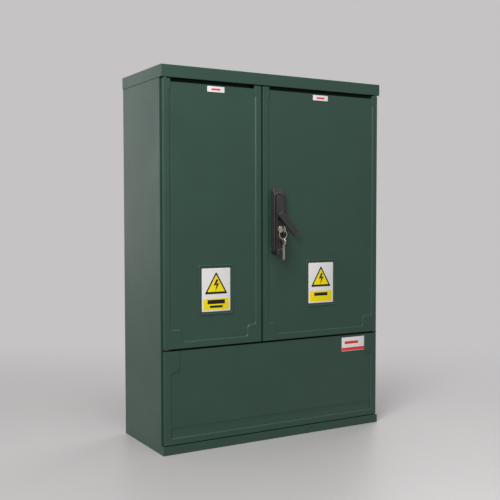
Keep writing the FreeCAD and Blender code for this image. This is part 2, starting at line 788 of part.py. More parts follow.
def make_lower_panel():
    """The panel over the cable space, with a sunk field, a groove and four pegs that it hangs by."""
    body = new_body("lower_panel")
    bottom = base_height + panel_lift
    pad(body, "XZ_Plane", -door_back_y, door_depth, rectangle((-door_out, door_out), (bottom, panel_top)))
    wide = door_out - panel_field_inset
    narrow = wide - shoulder_width
    field = [
        (-wide, field_low), (wide, field_low), (wide, shoulder), (narrow, shoulder),
        (narrow, panel_top + fit), (-narrow, panel_top + fit), (-narrow, shoulder), (-wide, shoulder),
    ]
    pocket(body, "XZ_Plane", -face_y, field_depth, field)
    pocket(body, "XZ_Plane", -face_y, field_depth * GROOVE_DEEPER,
           rectangle((-wide, wide), (groove_low, groove_high)))
    inner = door_out - door_rim
    pocket(body, "XZ_Plane", -door_back_y, door_depth - door_skin,
           rectangle((-inner, inner), (bottom + door_rim, panel_top - door_rim)), along_normal=True)
    for across, height in peg_places():
        reach = peg_reach + jamb_back - door_depth
        square = rectangle(around(across, peg_radius * 2), around(height, peg_radius * 2))
        pad_back(body, skin_back_y, reach + door_depth - door_skin, square)


def pad_back(body, start_y, length, corners):
    feature = pad(body, "XZ_Plane", -start_y, length, corners)
    feature.Reversed = True
    doc.recompute()


def make_peg_sockets():
    """A clip behind each jamb that grips a peg of the lower panel."""
    sockets = []
    for across, height in peg_places():
        outer = block(around(across, peg_radius * 4), (jamb_back_y, jamb_back_y + peg_reach),
                      around(height, peg_radius * 4))
        hole = block(around(across, peg_radius * 2 + fit * 2),
                     (jamb_back_y - fit, jamb_back_y + peg_reach + fit),
                     around(height, peg_radius * 2 + fit * 2))
        sockets.append(take(outer, hole))
    node("panel_clips", together(sockets))


# ---------------------------------------------------------------- handle and lock on the right door

def housing_screws():
    low = lock_height - housing_drop + insert_channel * 8
    rail = (housing_width + insert_width) / 4 + insert_channel / 2
    return [(lock_x, lock_height + housing_top - (housing_top - insert_top) / 2 + insert_channel),
            (lock_x - rail, low), (lock_x + rail, low)]


housing_front_y = face_y - housing_depth
insert_front_y = housing_front_y - insert_proud
field_face_y = face_y + field_depth


def make_housing():
    """The black surround of the lock: a slab with an arched recess that is open at the bottom."""
    slope_z = lock_height + housing_top - housing_slope
    slab = block(around(lock_x, housing_width), (housing_front_y, field_face_y),
                 (lock_height - housing_drop, slope_z))
    half = housing_width / 2
    slope = doc.addObject("Part::Wedge", "slope")
    for prop, amount in (("Xmin", -half), ("Xmax", half), ("Zmin", -field_face_y), ("Zmax", -housing_front_y),
                         ("Ymin", 0), ("Ymax", housing_slope),
                         ("X2min", housing_floor - half), ("X2max", half - housing_floor),
                         ("Z2min", -field_face_y), ("Z2max", housing_floor - face_y)):
        bind(slope, prop, amount)
    slope.Placement = Placement(Vector(), Rotation(Vector(1, 0, 0), 90))
    bind(slope, "Placement.Base.x", lock_x)
    bind(slope, "Placement.Base.z", slope_z)
    recess_back = face_y - housing_floor
    arch_radius = insert_width / 2 + insert_channel
    arch_z = lock_height + insert_top - insert_width / 2
    recess = block(around(lock_x, arch_radius * 2), (housing_front_y - fit, recess_back),
                   (lock_height - housing_drop - fit, arch_z))
    arch = post("y", (lock_x, arch_z), (housing_front_y - fit, recess_back), arch_radius)
    spindle_hole = post("y", (lock_x, lock_height), (recess_back - fit, field_face_y + fit),
                        spindle_radius + fit)
    lock_hole = post("y", (lock_x, lock_height - cylinder_drop), (recess_back - fit, field_face_y + fit),
                     cylinder_radius + seat_play)
    screw_holes = [post("y", across, (face_y - housing_screw_depth, field_face_y + fit), screw_radius)
                   for across in housing_screws()]
    node("handle_housing", take(join(slab, slope), recess, arch, spindle_hole, lock_hole, *screw_holes))


def make_insert():
    """The lock body in the recess: arched top, a well behind the key, and a finger grip below."""
    arch_z = lock_height + insert_top - insert_width / 2
    low = lock_height - insert_drop
    back = face_y - housing_floor
    stem = block(around(lock_x, insert_width), (insert_front_y, back),
                 (lock_height - housing_drop + fit, arch_z))
    tail = block(around(lock_x, insert_width), (insert_front_y, back),
                 (low, lock_height - housing_drop + fit))
    arch = post("y", (lock_x, arch_z), (insert_front_y, back), insert_width / 2)
    grip = block(around(lock_x, insert_width), (insert_front_y - grip_proud, insert_front_y),
                 (low, low + grip_height))
    hollow = block(around(lock_x, insert_width - wall), (insert_front_y - grip_proud + wall, back + fit),
                   (low - fit, low + grip_height - wall))
    spindle_hole = post("y", (lock_x, lock_height), (insert_front_y - fit, back + fit),
                        spindle_radius + hinge_play)
    lock_hole = post("y", (lock_x, lock_height - cylinder_drop), (insert_front_y - fit, back + fit),
                     cylinder_radius + seat_play)
    well = block(around(lock_x, insert_width - well_rim * 2),
                 (insert_front_y - fit, insert_front_y + well_depth),
                 (low + grip_height + well_rim, lock_height - boss_radius))
    node("handle_insert", take(join(stem, tail, arch, grip), hollow, well, spindle_hole, lock_hole))


def make_handle_screws():
    screws = []
    for across in housing_screws():
        head = post("y", across, (skin_back_y, skin_back_y + screw_head), screw_head_radius)
        shank = post("y", across, (face_y - housing_screw_depth + fit, skin_back_y), screw_radius - seat_play)
        screws.append(join(head, shank))
    node("handle_screws", together(screws))


lever_back_y = insert_front_y - lever_gap
lever_front_y = lever_back_y - lever_thick


def turned(label, piece, angle):
    """A piece modelled upright about the lever axis at the origin, turned and put in place."""
    piece.Placement = Placement(Vector(), Rotation(Vector(0, -1, 0), angle.value))
    bind(piece, "Placement.Rotation.Angle", angle)
    bind(piece, "Placement.Base.x", lock_x)
    bind(piece, "Placement.Base.z", lock_height)
    node(label, piece)


def make_lever():
    """The flat turning lever, square at both ends, with a round boss at its axis."""
    half = lever_width / 2
    bar = block(around(0, lever_width), (lever_front_y, lever_back_y), (half - lever_length, half))
    boss = post("y", (0, 0), (lever_back_y, insert_front_y - slip), half)
    seat = post("y", (0, 0), (lever_front_y + lever_thick / 2, insert_front_y), spindle_radius + seat_play)
    turned("handle_lever", take(join(bar, boss), seat), lever_angle)


def make_spindle():
    node("handle_spindle", post("y", (lock_x, lock_height),
                                (lever_front_y + lever_thick / 2,
                                 face_y + cam_back + cam_thick), spindle_radius))


def make_cam():
    """The plate on the spindle's inner end, with one pin for each rod."""
    front = face_y + cam_back
    back = front + cam_thick
    arm = cam_radius + cam_pin_radius * 2
    plate = block(around(0, arm * 2), (front, back), around(0, cam_pin_radius * 5))
    pins = [post("y", (cam_radius * side, 0), (back, rod_back_y + rod_gap), cam_pin_radius) for side in (-1,
                                                                                                         1)]
    bore = post("y", (0, 0), (front - fit, back + fit), spindle_radius + seat_play)
    turned("cam_plate", join(take(plate, bore), *pins), -cam_angle)


def make_rods():
    """Flat rods that the cam draws out of the top rail and the sill."""
    pin_rise = Size(f"({cam_radius.text} * sin({cam_angle.text} * 1deg))",
                    cam_radius.value * math.sin(math.radians(cam_angle.value)))
    ends = {
        "upper_lock_rod": (upper_rod_x, lock_height + pin_rise, opening_top - rod_clear, 1),
        "lower_lock_rod": (lower_rod_x, lock_height - pin_rise, opening_bottom + rod_clear, -1),
    }
    for label, (across, pin_z, tip_z, way) in ends.items():
        tail = pin_z - rod_width * ROD_PAST_SLOT * way
        z_span = (tail, tip_z) if way > 0 else (tip_z, tail)
        bar = block(around(across, rod_width), (rod_front_y, rod_back_y), z_span)
        slot_x = across + cam_radius * ROD_SLOT_SHIFT * way
        slot = block(around(slot_x, rod_slot_length), (rod_front_y - fit, rod_back_y + fit),
                     around(pin_z, (cam_pin_radius + rod_slot_play) * 2))
        node(label, take(bar, slot))


def guide(across, height, width, back_y):
    """A bracket on a door's back with a slot for a flat rod."""
    outer = block(around(across, width + guide_wall * 2), (skin_back_y, back_y + guide_wall),
                  around(height, guide_height))
    slot = block(around(across, width + guide_play * 2), (rod_front_y - guide_play, rod_back_y + guide_play),
                 around(height, guide_height + fit))
    return take(outer, slot)


def make_rod_guides():
    """Two brackets for each rod, one near the lock and one near the rod's tip."""
    guides = []
    for across, tip_z in ((upper_rod_x, opening_top), (lower_rod_x, opening_bottom)):
        for share in (ROD_GUIDE_NEAR_LOCK, ROD_GUIDE_NEAR_TIP):
            height = lock_height + (tip_z - lock_height) * share
            guides.append(guide(across, height, rod_width, rod_back_y))
    node("rod_guides", together(guides))


def make_lock_cylinder():
    z = lock_height - cylinder_drop
    front = insert_front_y - cylinder_proud
    barrel = post("y", (lock_x, z), (front, front + cylinder_length), cylinder_radius)
    bore = post("y", (lock_x, z), (front - fit, front + cylinder_length - wall), plug_radius + hinge_play)
    node("lock_cylinder", take(barrel, bore))
    plug = post("y", (lock_x, z), (front, front + cylinder_length - wall - fit), plug_radius)
    keyway = block(around(lock_x, key_thick + seat_play * 2),
                   (front - fit, front + cylinder_length - wall * 2),
                   around(z, key_blade + seat_play * 2))
    node("lock_plug", take(plug, keyway))
    return front


bow_y = insert_front_y - cylinder_proud - key_bow_radius - fit
ring_hang = key_bow_hole - ring_wire - slip        # the ring rests low in the hole of the key's bow


def make_key():
    z = lock_height - cylinder_drop
    plug_face = insert_front_y - cylinder_proud
    bow = post("x", (bow_y, z), around(lock_x, key_thick), key_bow_radius)
    blade = block(around(lock_x, key_thick), (bow_y, plug_face + cylinder_length - wall * 2 - fit),
                  around(z, key_blade))
    hole = post("x", (bow_y, z), around(lock_x, key_thick * 2), key_bow_hole)
    node("key", take(join(bow, blade), hole))


def make_key_ring():
    ring = doc.addObject("Part::Torus", "ring")
    ring.Placement = Placement(Vector(), Rotation(Vector(1, 0, 0), 90))
    bind(ring, "Radius1", ring_radius)
    bind(ring, "Radius2", ring_wire)
    bind(ring, "Placement.Base.x", lock_x)
    bind(ring, "Placement.Base.y", bow_y)
    bind(ring, "Placement.Base.z", lock_height - cylinder_drop - ring_hang - ring_radius)
    node("key_ring", ring)


def make_spare_keys():
    """Two spare keys that hang straight down from the ring, one each side of its lowest point."""
    ring_z = lock_height - cylinder_drop - ring_hang - ring_radius
    spread = math.radians(spare_key_spread.value)
    aside = Size(f"({ring_radius.text} * sin({spare_key_spread.text} * 1deg))",
                 ring_radius.value * math.sin(spread))
    below = Size(f"({ring_radius.text} * cos({spare_key_spread.text} * 1deg))",
                 ring_radius.value * math.cos(spread))
    keys = []
    for side in (-1, 1):
        across = lock_x + aside * side
        hole_z = ring_z - below - ring_hang
        bow_z = hole_z - key_bow_radius + key_bow_hole * HOLE_TO_RIM
        bow = post("x", (bow_y, bow_z), around(across, key_thick), key_bow_radius)
        blade = block(around(across, key_thick), around(bow_y, key_blade), (bow_z - key_length, bow_z))
        hole = post("x", (bow_y, hole_z), around(across, key_thick * 2), key_bow_hole)
        keys.append(take(join(bow, blade), hole))
    node("spare_keys", together(keys))


# ---------------------------------------------------------------- flush bolts on the left door

def make_flush_bolts():
    guides = []
    y_span = (rod_front_y, rod_back_y)
    for label, tip_z, way in (("upper_flush_bolt", opening_top - rod_clear, -1),
                              ("lower_flush_bolt", opening_bottom + rod_clear, 1)):
        tail_z = tip_z + flush_bolt_length * way
        z_span = (tail_z, tip_z) if way < 0 else (tip_z, tail_z)
        bar = block(around(bolt_x, flush_bolt_width), y_span, z_span)
        knob_z = tail_z - flush_knob_radius * 2 * way
        knob = post("y", (bolt_x, knob_z), (rod_back_y, rod_back_y + flush_knob_reach), flush_knob_radius)
        node(label, join(bar, knob))
        for share in (BOLT_GUIDE_NEAR_TIP, BOLT_GUIDE_NEAR_KNOB):
            guides.append(guide(bolt_x, tip_z + flush_bolt_length * (share * way), flush_bolt_width,
                                rod_back_y))
    node("bolt_guides", together(guides))


# ---------------------------------------------------------------- inside the compartments

partition_x = (left_free + right_free) / 2
partition_span = around(partition_x, wall)
floor_z = (opening_bottom - wall, opening_bottom)


def make_partition():
    node("partition",
         block(partition_span, (jamb_y + partition_setback, rear_in), (opening_bottom, opening_top)))


def floor_holes():
    depth = (rail_back_y + rear_in) / 2 - board_thick * 4
    return [((wall_in - floor_hole_pitch * place) * side, depth) for side in (-1, 1) for place in (1, 2)]


def make_floor():
    plate = block((-wall_in, wall_in), (rail_back_y, rear_in), floor_z)
    corners = [block(around((wall_out - jamb_width / 2) * side, jamb_width), (rear_in - wall, rear_in),
                     floor_z)
               for side in (-1, 1)]
    holes = [post("z", across, (floor_z[0] - fit, floor_z[1] + fit),
                  floor_hole_radius) for across in floor_holes()]
    node("compartment_floor", take(plate, *(holes + corners)))


def make_grommets():
    rings = []
    for across in floor_holes():
        body = post("z", across, (floor_z[0], floor_z[1] + grommet_lip_height), floor_hole_radius - seat_play)
        lip = post("z", across, (floor_z[1], floor_z[1] + grommet_lip_height),
                   floor_hole_radius + grommet_lip)
        bore = post("z", across, (floor_z[0] - fit, floor_z[1] + grommet_lip_height + fit),
                    floor_hole_radius - grommet_wall)
        rings.append(take(join(body, lip), bore))
    node("cable_grommets", together(rings))


def make_board(label, x_span):
    """A mounting board held off the rear wall by four posts."""
    z_span = (opening_bottom + board_margin, opening_top)
    board_y = (board_front_y, board_front_y + board_thick)
    plate = block(x_span, board_y, z_span)
    posts = []
    for across in (x_span[0] + board_margin, x_span[1] - board_margin):
        for height in (z_span[0] + board_margin, z_span[1] - board_margin):
            posts.append(post("y", (across, height), (board_y[1], rear_in), standoff_radius))
    node(label, join(plate, *posts))


left_board_span = (board_edge - wall_in, partition_x - board_edge)
right_board_span = (partition_x + board_edge, wall_in - board_edge)
fuse_x = (left_board_span[0] + left_board_span[1]) / 2
meter_x = (right_board_span[0] + right_board_span[1]) / 2
fuse_back = board_front_y
fuse_front = fuse_back - fuse_depth
fuse_pivot_z = fuse_z + fuse_wall * 3
fuse_pivot_y = fuse_front - fuse_lid_depth / 2
fuse_lid_width = fuse_width - (fuse_wall + fit) * 2     # between the two hinge lugs


def make_fuse_base():
    """The fixed half of the fuse switch: a tray with side walls and barriers between the phases."""
    z_span = (fuse_z, fuse_z + fuse_height)
    shell = block(around(fuse_x, fuse_width), (fuse_front, fuse_back), z_span)
    hollow_z = (fuse_z + fuse_wall * 2, fuse_z + fuse_wall * 2 + fuse_lid_height)
    bays = []
    for place in (-1, 0, 1):
        centre = fuse_x + fuse_pitch * place
        bays.append(block(around(centre, fuse_pitch - fuse_wall / 2),
                          (fuse_front - fit, fuse_back - fuse_wall * 2), hollow_z))
    lugs, bores = [], []
    for side in (-1, 1):
        lug_x = around(fuse_x + (fuse_width - fuse_wall) / 2 * side, fuse_wall)
        web = block(lug_x, (fuse_pivot_y, fuse_front), around(fuse_pivot_z, fuse_lug_radius * 2))
        eye = post("x", (fuse_pivot_y, fuse_pivot_z), lug_x, fuse_lug_radius)
        lugs.extend([web, eye])
        bores.append(post("x", (fuse_pivot_y, fuse_pivot_z), (lug_x[0] - fit, lug_x[1] + fit),
                          fuse_pin_radius + hinge_play))
    node("fuse_switch_base", take(join(shell, *lugs), *(bays + bores)))


link_back_y = fuse_front + link_depth + fuse_wall
link_z = fuse_z + fuse_wall * 2 + (fuse_lid_height - link_height) / 2


def make_fuse_lid():
    """The swinging half: a cover with a pull handle, which carries the fuse links."""
    z_span = (fuse_z + fuse_wall * 2, fuse_z + fuse_wall * 2 + fuse_lid_height)
    lid_front = fuse_front - fuse_lid_depth
    handle_front = lid_front - fuse_handle_depth
    cover = block(around(fuse_x, fuse_lid_width), (lid_front, fuse_front - fit * 2), z_span)
    hollow = block(around(fuse_x, fuse_lid_width - fuse_wall * 2), (lid_front + fuse_wall, fuse_front + fit),
                   (z_span[0] + fuse_wall, z_span[1] - fuse_wall))
    handle_z = z_span[1] - fuse_wall * 8
    grip = block(around(fuse_x, fuse_width * GRIP_WIDTH_SHARE), (handle_front, lid_front),
                 (handle_z, handle_z + fuse_wall * 4))
    finger = block(around(fuse_x, fuse_width * GRIP_HOLLOW_SHARE), (handle_front + fuse_wall, lid_front),
                   (handle_z - fit, handle_z + fuse_wall * 3))
    stems = [block(around(fuse_x + fuse_pitch * place, blade_width),
                   (lid_front + fuse_wall, link_back_y - link_depth),
                   around(link_z + link_height / 2, link_height / 2)) for place in (-1, 0, 1)]
    pins = []
    for side in (-1, 1):
        inner, outer = (fuse_lid_width / 2 - fuse_wall) * side, fuse_width / 2 * side
        span = (inner, outer) if side > 0 else (outer, inner)
        pins.append(post("x", (fuse_pivot_y, fuse_pivot_z), (fuse_x + span[0], fuse_x + span[1]),
                         fuse_pin_radius))
    node("fuse_switch_lid", join(take(join(cover, grip), hollow, finger), *(stems + pins)))


def make_fuse_links():
    links = []
    for place in (-1, 0, 1):
        centre = fuse_x + fuse_pitch * place
        barrel = block(around(centre, link_width), (link_back_y - link_depth, link_back_y),
                       (link_z, link_z + link_height))
        blade_y = (link_back_y - link_depth * BLADE_FRONT_SHARE, link_back_y - link_depth * BLADE_BACK_SHARE)
        blades = block(around(centre, blade_width), blade_y,
                       (link_z - blade_reach, link_z + link_height + blade_reach))
        links.append(join(barrel, blades))
    node("fuse_links", together(links))


def make_fuse_contacts():
    """A pair of jaws on each side of every blade, fixed to the floor of the tray."""
    contacts = []
    back = fuse_back - fuse_wall * 2
    for place in (-1, 0, 1):
        centre = fuse_x + fuse_pitch * place
        link_top = link_z + link_height
        for z_span in ((link_z - blade_reach, link_z - fuse_wall * 1.5),
                       (link_top + fuse_wall * 1.5, link_top + blade_reach)):
            foot = block(around(centre, blade_width + (jaw_gap + jaw_thick) * 2), (link_back_y + fit, back),
                         z_span)
            jaws = [block(around(centre + (blade_width / 2 + jaw_gap + jaw_thick / 2) * side, jaw_thick),
                          (link_back_y - link_depth * 0.5, link_back_y + fit), z_span) for side in (-1, 1)]
            contacts.append(join(foot, *jaws))
    node("fuse_contacts", together(contacts))


def make_neutral_bar():
    bar_back = board_front_y - neutral_standoff
    bar_front = bar_back - neutral_thick
    bar = block(around(fuse_x, neutral_length), (bar_front, bar_back), around(neutral_z, neutral_height))
    places = [fuse_x + neutral_length * share for share in BAR_ENDS]
    insulators = [post("y", (across, neutral_z), (bar_back, board_front_y),
                       insulator_radius) for across in places]
    node("bar_insulators", together(insulators))
    screws = [post("y", (fuse_x + neutral_length * share, neutral_z), (bar_front - wall, bar_front),
                   screw_head_radius)
              for share in NEUTRAL_SCREWS]
    node("neutral_bar", join(bar, *screws))


def make_meter():
    """A three-phase meter: case with a window over its display, and a cover over its terminals."""
    front = board_front_y - meter_depth
    x_span = around(meter_x, meter_width)
    z_span = (meter_z, meter_z + meter_height)
    case = block(x_span, (front, board_front_y), z_span)
    window_top = z_span[1] - window_drop
    window_span = (window_top - window_height, window_top)
    pocket_back = front + window_thick * 4
    recess = block(around(meter_x, window_width), (front - fit, pocket_back), window_span)
    node("meter_case", take(case, recess))
    node("meter_window", block(around(meter_x, window_width - seat_play * 2), (front, front + window_thick),
                               (window_span[0] + seat_play, window_span[1] - seat_play)))
    middle_z = (window_span[0] + window_span[1]) / 2
    node("meter_display", block(around(meter_x, display_width), (pocket_back - display_thick, pocket_back),
                                around(middle_z, display_height)))
    cover = block(around(meter_x, meter_width - terminal_inset * 2), (front + meter_wall, board_front_y),
                  (meter_z - terminal_height, meter_z))
    hollow = block(around(meter_x, meter_width - (terminal_inset + meter_wall) * 2),
                   (front + meter_wall * 2, board_front_y + fit), (meter_z - terminal_height - fit,
                                                                   meter_z - meter_wall))
    node("meter_terminal_cover", take(cover, hollow))


rail_front_y = board_front_y - din_rail_depth
isolator_front_y = rail_front_y - isolator_depth
toggle_z = isolator_z + isolator_height / 2


def make_isolator():
    """The main isolator on its mounting rail, with one wide toggle."""
    rail_span = around(meter_x, din_rail_length)
    node("din_rail", block(rail_span, (rail_front_y, board_front_y), around(toggle_z, din_rail_height)))
    body = block(around(meter_x, isolator_width), (isolator_front_y, rail_front_y),
                 (isolator_z, isolator_z + isolator_height))
    recess = post("x", (isolator_front_y, toggle_z), around(meter_x, toggle_width + fit * 2),
                  toggle_radius + fit)
    node("isolator_body", take(body, recess))
    drum = post("x", (0, 0), around(0, toggle_width), toggle_radius)
    bar = block(around(0, toggle_width), (-toggle_reach, 0), around(0, toggle_radius * TOGGLE_BAR_SHARE))
    toggle = join(drum, bar)
    toggle.Placement = Placement(Vector(), Rotation(Vector(-1, 0, 0), toggle_angle.value))
    bind(toggle, "Placement.Rotation.Angle", toggle_angle)
    bind(toggle, "Placement.Base.x", meter_x)
    bind(toggle, "Placement.Base.y", isolator_front_y)
    bind(toggle, "Placement.Base.z", toggle_z)
    node("isolator_toggle", toggle)


# ---------------------------------------------------------------- cable space

def make_cable_rail():
    """The rail that incoming cables are clamped to, with an earth bar above it."""
    z_span = (cable_rail_z, cable_rail_z + cable_rail_height)
    rail = block((-wall_in, wall_in), around(cable_rail_y, cable_rail_depth), z_span)
    front = cable_rail_y - cable_rail_depth / 2
    groove = block((-wall_in - fit, wall_in + fit), (front + wall, front + cable_rail_depth + fit),
                   (z_span[0] + wall, z_span[1] - wall))
    node("cable_rail", take(rail, groove))
    clamps = []
    middle = (z_span[0] + z_span[1]) / 2
    for place in (-2, -1, 0, 1, 2):
        across = clamp_pitch * place
        yoke = block(around(across, clamp_width), (front - clamp_bore * 2 - wall, front),
                     around(middle, clamp_height))
        bore = post("z", (across, front - clamp_bore - wall / 2), around(middle, clamp_height * 2),
                    clamp_bore)
        clamps.append(take(yoke, bore))
    node("cable_clamps", together(clamps))
    bar_span = (rear_in - wall * 4, rear_in - wall * 3)
    height_span = around(earth_bar_z, clamp_height)
    bar = block(around(0, earth_bar_length), bar_span, height_span)
    feet = [block(around(earth_bar_length * share, clamp_height), (bar_span[1], rear_in), height_span)
            for share in BAR_ENDS]
    studs = [post("y", (earth_bar_length * share, earth_bar_z), (bar_span[0] - wall * 2, bar_span[0]),
                  screw_radius * STUD_WIDER) for share in EARTH_STUDS]
    node("earth_bar", join(bar, *(feet + studs)))


# ---------------------------------------------------------------- build, check and write

make_base_frame()
make_side_wall("side_wall_left", -1)
make_side_wall("side_wall_right", 1)
make_rear_wall()
make_screws()
make_roof()
make_top_rail()
make_door_sill()
make_hinge_pins("left_hinge_pins", -1)
make_hinge_pins("right_hinge_pins", 1)
make_left_door()
make_right_door()
make_seals()
make_plates()
make_lower_panel()
make_peg_sockets()
make_housing()
make_insert()
make_handle_screws()
make_lever()
make_spindle()
make_cam()
make_rods()
make_rod_guides()
make_lock_cylinder()
make_key()
make_key_ring()
make_spare_keys()
make_flush_bolts()
make_partition()
make_floor()
make_grommets()
make_board("left_mounting_board", left_board_span)
make_board("meter_board", right_board_span)
make_fuse_base()
make_fuse_lid()
make_fuse_links()
make_fuse_contacts()
make_neutral_bar()
make_meter()
make_isolator()
make_cable_rail()

doc.recompute()
faults = [item.Name for item in doc.Objects if "Invalid" in item.State or "Error" in item.State]
for piece in nodes:
    if piece.Shape.isNull() or not piece.Shape.isValid():
        faults.append(piece.Label)
if faults:
    raise RuntimeError("these objects failed: " + ", ".join(faults))
for piece in nodes:
    piece.Shape.exportStep(f"parts/{piece.Label}.step")
print(len(nodes), "sub-parts written")
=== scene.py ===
"""Finished look of a free-standing electricity meter and service cabinet, built round its CAD frame."""

import json
import math

import bmesh
import bpy
from mathutils import Matrix, Vector


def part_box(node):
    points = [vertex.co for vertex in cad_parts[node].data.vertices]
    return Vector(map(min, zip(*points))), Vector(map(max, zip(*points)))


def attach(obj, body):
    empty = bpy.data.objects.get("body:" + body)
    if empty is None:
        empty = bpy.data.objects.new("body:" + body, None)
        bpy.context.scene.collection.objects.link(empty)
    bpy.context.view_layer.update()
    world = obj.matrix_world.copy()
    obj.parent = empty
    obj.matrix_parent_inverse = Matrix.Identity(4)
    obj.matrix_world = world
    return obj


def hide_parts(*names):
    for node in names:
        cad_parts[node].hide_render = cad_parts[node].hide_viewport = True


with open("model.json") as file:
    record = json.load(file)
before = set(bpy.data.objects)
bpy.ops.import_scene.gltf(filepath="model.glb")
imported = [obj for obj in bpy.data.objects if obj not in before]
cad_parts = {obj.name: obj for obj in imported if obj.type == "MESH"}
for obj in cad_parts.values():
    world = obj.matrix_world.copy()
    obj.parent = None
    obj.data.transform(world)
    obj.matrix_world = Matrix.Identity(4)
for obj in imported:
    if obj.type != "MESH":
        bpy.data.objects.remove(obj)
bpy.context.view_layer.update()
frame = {"nodes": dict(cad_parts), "record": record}

bl_info = {
    "name": "Service cabinet",
    "version": (1, 0, 0),
    "blender": (4, 5, 0),
    "location": "3D View > Sidebar > Cabinet",
    "description": "Builds the visible pieces, materials and studio of an electricity service cabinet",
    "category": "Object",
}

NODE_BODY = {node: body for body, nodes in frame["record"]["behaviour"]["bodies"].items() for node in nodes}
NODE_SLOT = {entry["node"]: entry["material_slot"] for entry in frame["record"]["subparts"]}
MM = 0.001
UPRIGHT = Matrix.Rotation(math.radians(90), 4, "X")      # a flat outline stood up, its front facing -Y
SIDEWAYS = Matrix.Rotation(math.radians(90), 4, "Z")     # turns a flat key edge-on to the front
MERGE_DISTANCE = 2e-6
CORNER_STEPS = 6             # steps round the quarter circle of a plate's corner
MOULDED_CORNER_STEPS = 7     # steps round a moulded field's corner
MOULDED_SMOOTH_ANGLE = 14    # degrees; less than the slope of a field's walls, so that these stay crisp
MOULDED_RIM = 0.7 * MM       # rounding of a leaf's front rims
LEAF_CORNER = 1.5 * MM       # radius of a leaf's outer corners
KEY_RIM = 0.35 * MM
LEAF_OVERLAP = 0.4 * MM      # how far a leaf's moulding reaches into its flat skin

FADE_DIRECTION = (0.502, 0.865, 0.0)     # level, away from the camera
FADE_NEAR, FADE_FAR = 0.1, 1.5           # where the floor's fade begins and ends
FLOOR_RADIUS, FLOOR_SIDES = 9.0, 96
LIGHTS = (                               # name, place, target, width and height, watts
    ("key_light", (-1.7, -1.5, 1.9), (0, 0, 0.5), (0.9, 0.9), 54.0),
    ("side_sheen", (-2.6, 4.3, 1.0), (0, 0, 0.5), (3.0, 2.4), 20.0),
    ("right_fill", (2.4, 1.2, 2.4), (1.2, 0.3, 0.0), (1.6, 1.6), 40.0),
    ("top_light", (-0.5, -0.75, 2.6), (0, 0, 0.6), (0.9, 0.9), 34.0),
)
CAMERA_PLACE = (-1.1329, -1.9268, 0.5899)
CAMERA_TURN = (90 - 2.58, 0.07, -30.15)  # degrees
CAMERA_LENS, CAMERA_SENSOR = 59.0, 36.0  # millimetres


# ---------------------------------------------------------------- settings

class CabinetSizes(bpy.types.PropertyGroup):
    """Sizes of the moulded and pressed detail."""

    edge: bpy.props.FloatProperty(
        name="Moulded edge", description="Radius along the shell's outer edges",
        default=0.0018, unit="LENGTH")
    field_slope: bpy.props.FloatProperty(
        name="Field slope", description="Width of the sloping wall round a sunk field",
        default=0.0034, unit="LENGTH")
    field_corner: bpy.props.FloatProperty(
        name="Field corner", description="Radius of a sunk field's corners",
        default=0.008, unit="LENGTH")
    field_inset: bpy.props.FloatProperty(
        name="Field inset", description="Border between a door's edge and its sunk field",
        default=0.015, unit="LENGTH")
    ear_width: bpy.props.FloatProperty(
        name="Ear width", description="Width of the ears at a door's top", default=0.019, unit="LENGTH")
    ear_height: bpy.props.FloatProperty(
        name="Ear height", description="Height of the ears at a door's top",
        default=0.026, unit="LENGTH")
    notch_width: bpy.props.FloatProperty(
        name="Hinge notch", description="Width of the corner notch on a door's hinge side",
        default=0.031, unit="LENGTH")
    free_notch_width: bpy.props.FloatProperty(
        name="Free notch", description="Width of the corner notch on a door's free side",
        default=0.024, unit="LENGTH")
    notch_height: bpy.props.FloatProperty(
        name="Notch height", description="Height of a door's corner notches",
        default=0.030, unit="LENGTH")
    groove_slope: bpy.props.FloatProperty(
        name="Groove slope", description="Width of the long slopes of the lower panel's groove",
        default=0.007, unit="LENGTH")
    print_step: bpy.props.FloatProperty(
        name="Print step", description="Height of one printed layer on a plate",
        default=0.00012, unit="LENGTH")


class CabinetColours(bpy.types.PropertyGroup):
    """Colours of the finishes, in linear light."""

    green: bpy.props.FloatVectorProperty(
        name="Shell green", description="Moulded polyester shell", subtype="COLOR", size=3,
        default=(0.0140, 0.0450, 0.0305))
    black: bpy.props.FloatVectorProperty(
        name="Handle black", description="Moulded handle and lock body", subtype="COLOR", size=3,
        default=(0.021, 0.0205, 0.021))
    grey: bpy.props.FloatVectorProperty(
        name="Inner grey", description="Inner boards, floor and rails", subtype="COLOR", size=3,
        default=(0.36, 0.37, 0.36))
    yellow: bpy.props.FloatVectorProperty(
        name="Sign yellow", description="Printed yellow", subtype="COLOR", size=3,
        default=(0.68, 0.55, 0.003))
    red: bpy.props.FloatVectorProperty(
        name="Sticker red", description="Printed red", subtype="COLOR", size=3,
        default=(0.62, 0.03, 0.035))
    floor: bpy.props.FloatVectorProperty(
        name="Floor grey", description="Studio floor", subtype="COLOR", size=3,
        default=(0.345, 0.338, 0.336))
    backdrop: bpy.props.FloatVectorProperty(
        name="Backdrop grey", description="Studio surround", subtype="COLOR", size=3,
        default=(0.56, 0.545, 0.548))


def sizes():
    return bpy.context.scene.cabinet_sizes


def colours():
    return bpy.context.scene.cabinet_colours


# ---------------------------------------------------------------- materials

def new_material(name):
    """A material with its shader, and a function that adds and links nodes."""
    material = bpy.data.materials.new(name)
    material.use_nodes = True
    tree = material.node_tree
    shader = tree.nodes["Principled BSDF"]

    def add(kind, **inputs):
        node = tree.nodes.new(kind)
        for key, value in inputs.items():
            socket = node.inputs[key.replace("_", " ")]
            if isinstance(value, bpy.types.NodeSocket):
                tree.links.new(value, socket)
            else:
                socket.default_value = value
        return node

    return material, shader, add, tree.links.new


def shade(colour, factor):
    """The colour made lighter or darker, with an alpha of one."""
    return tuple(channel * factor for channel in colour) + (1.0,)


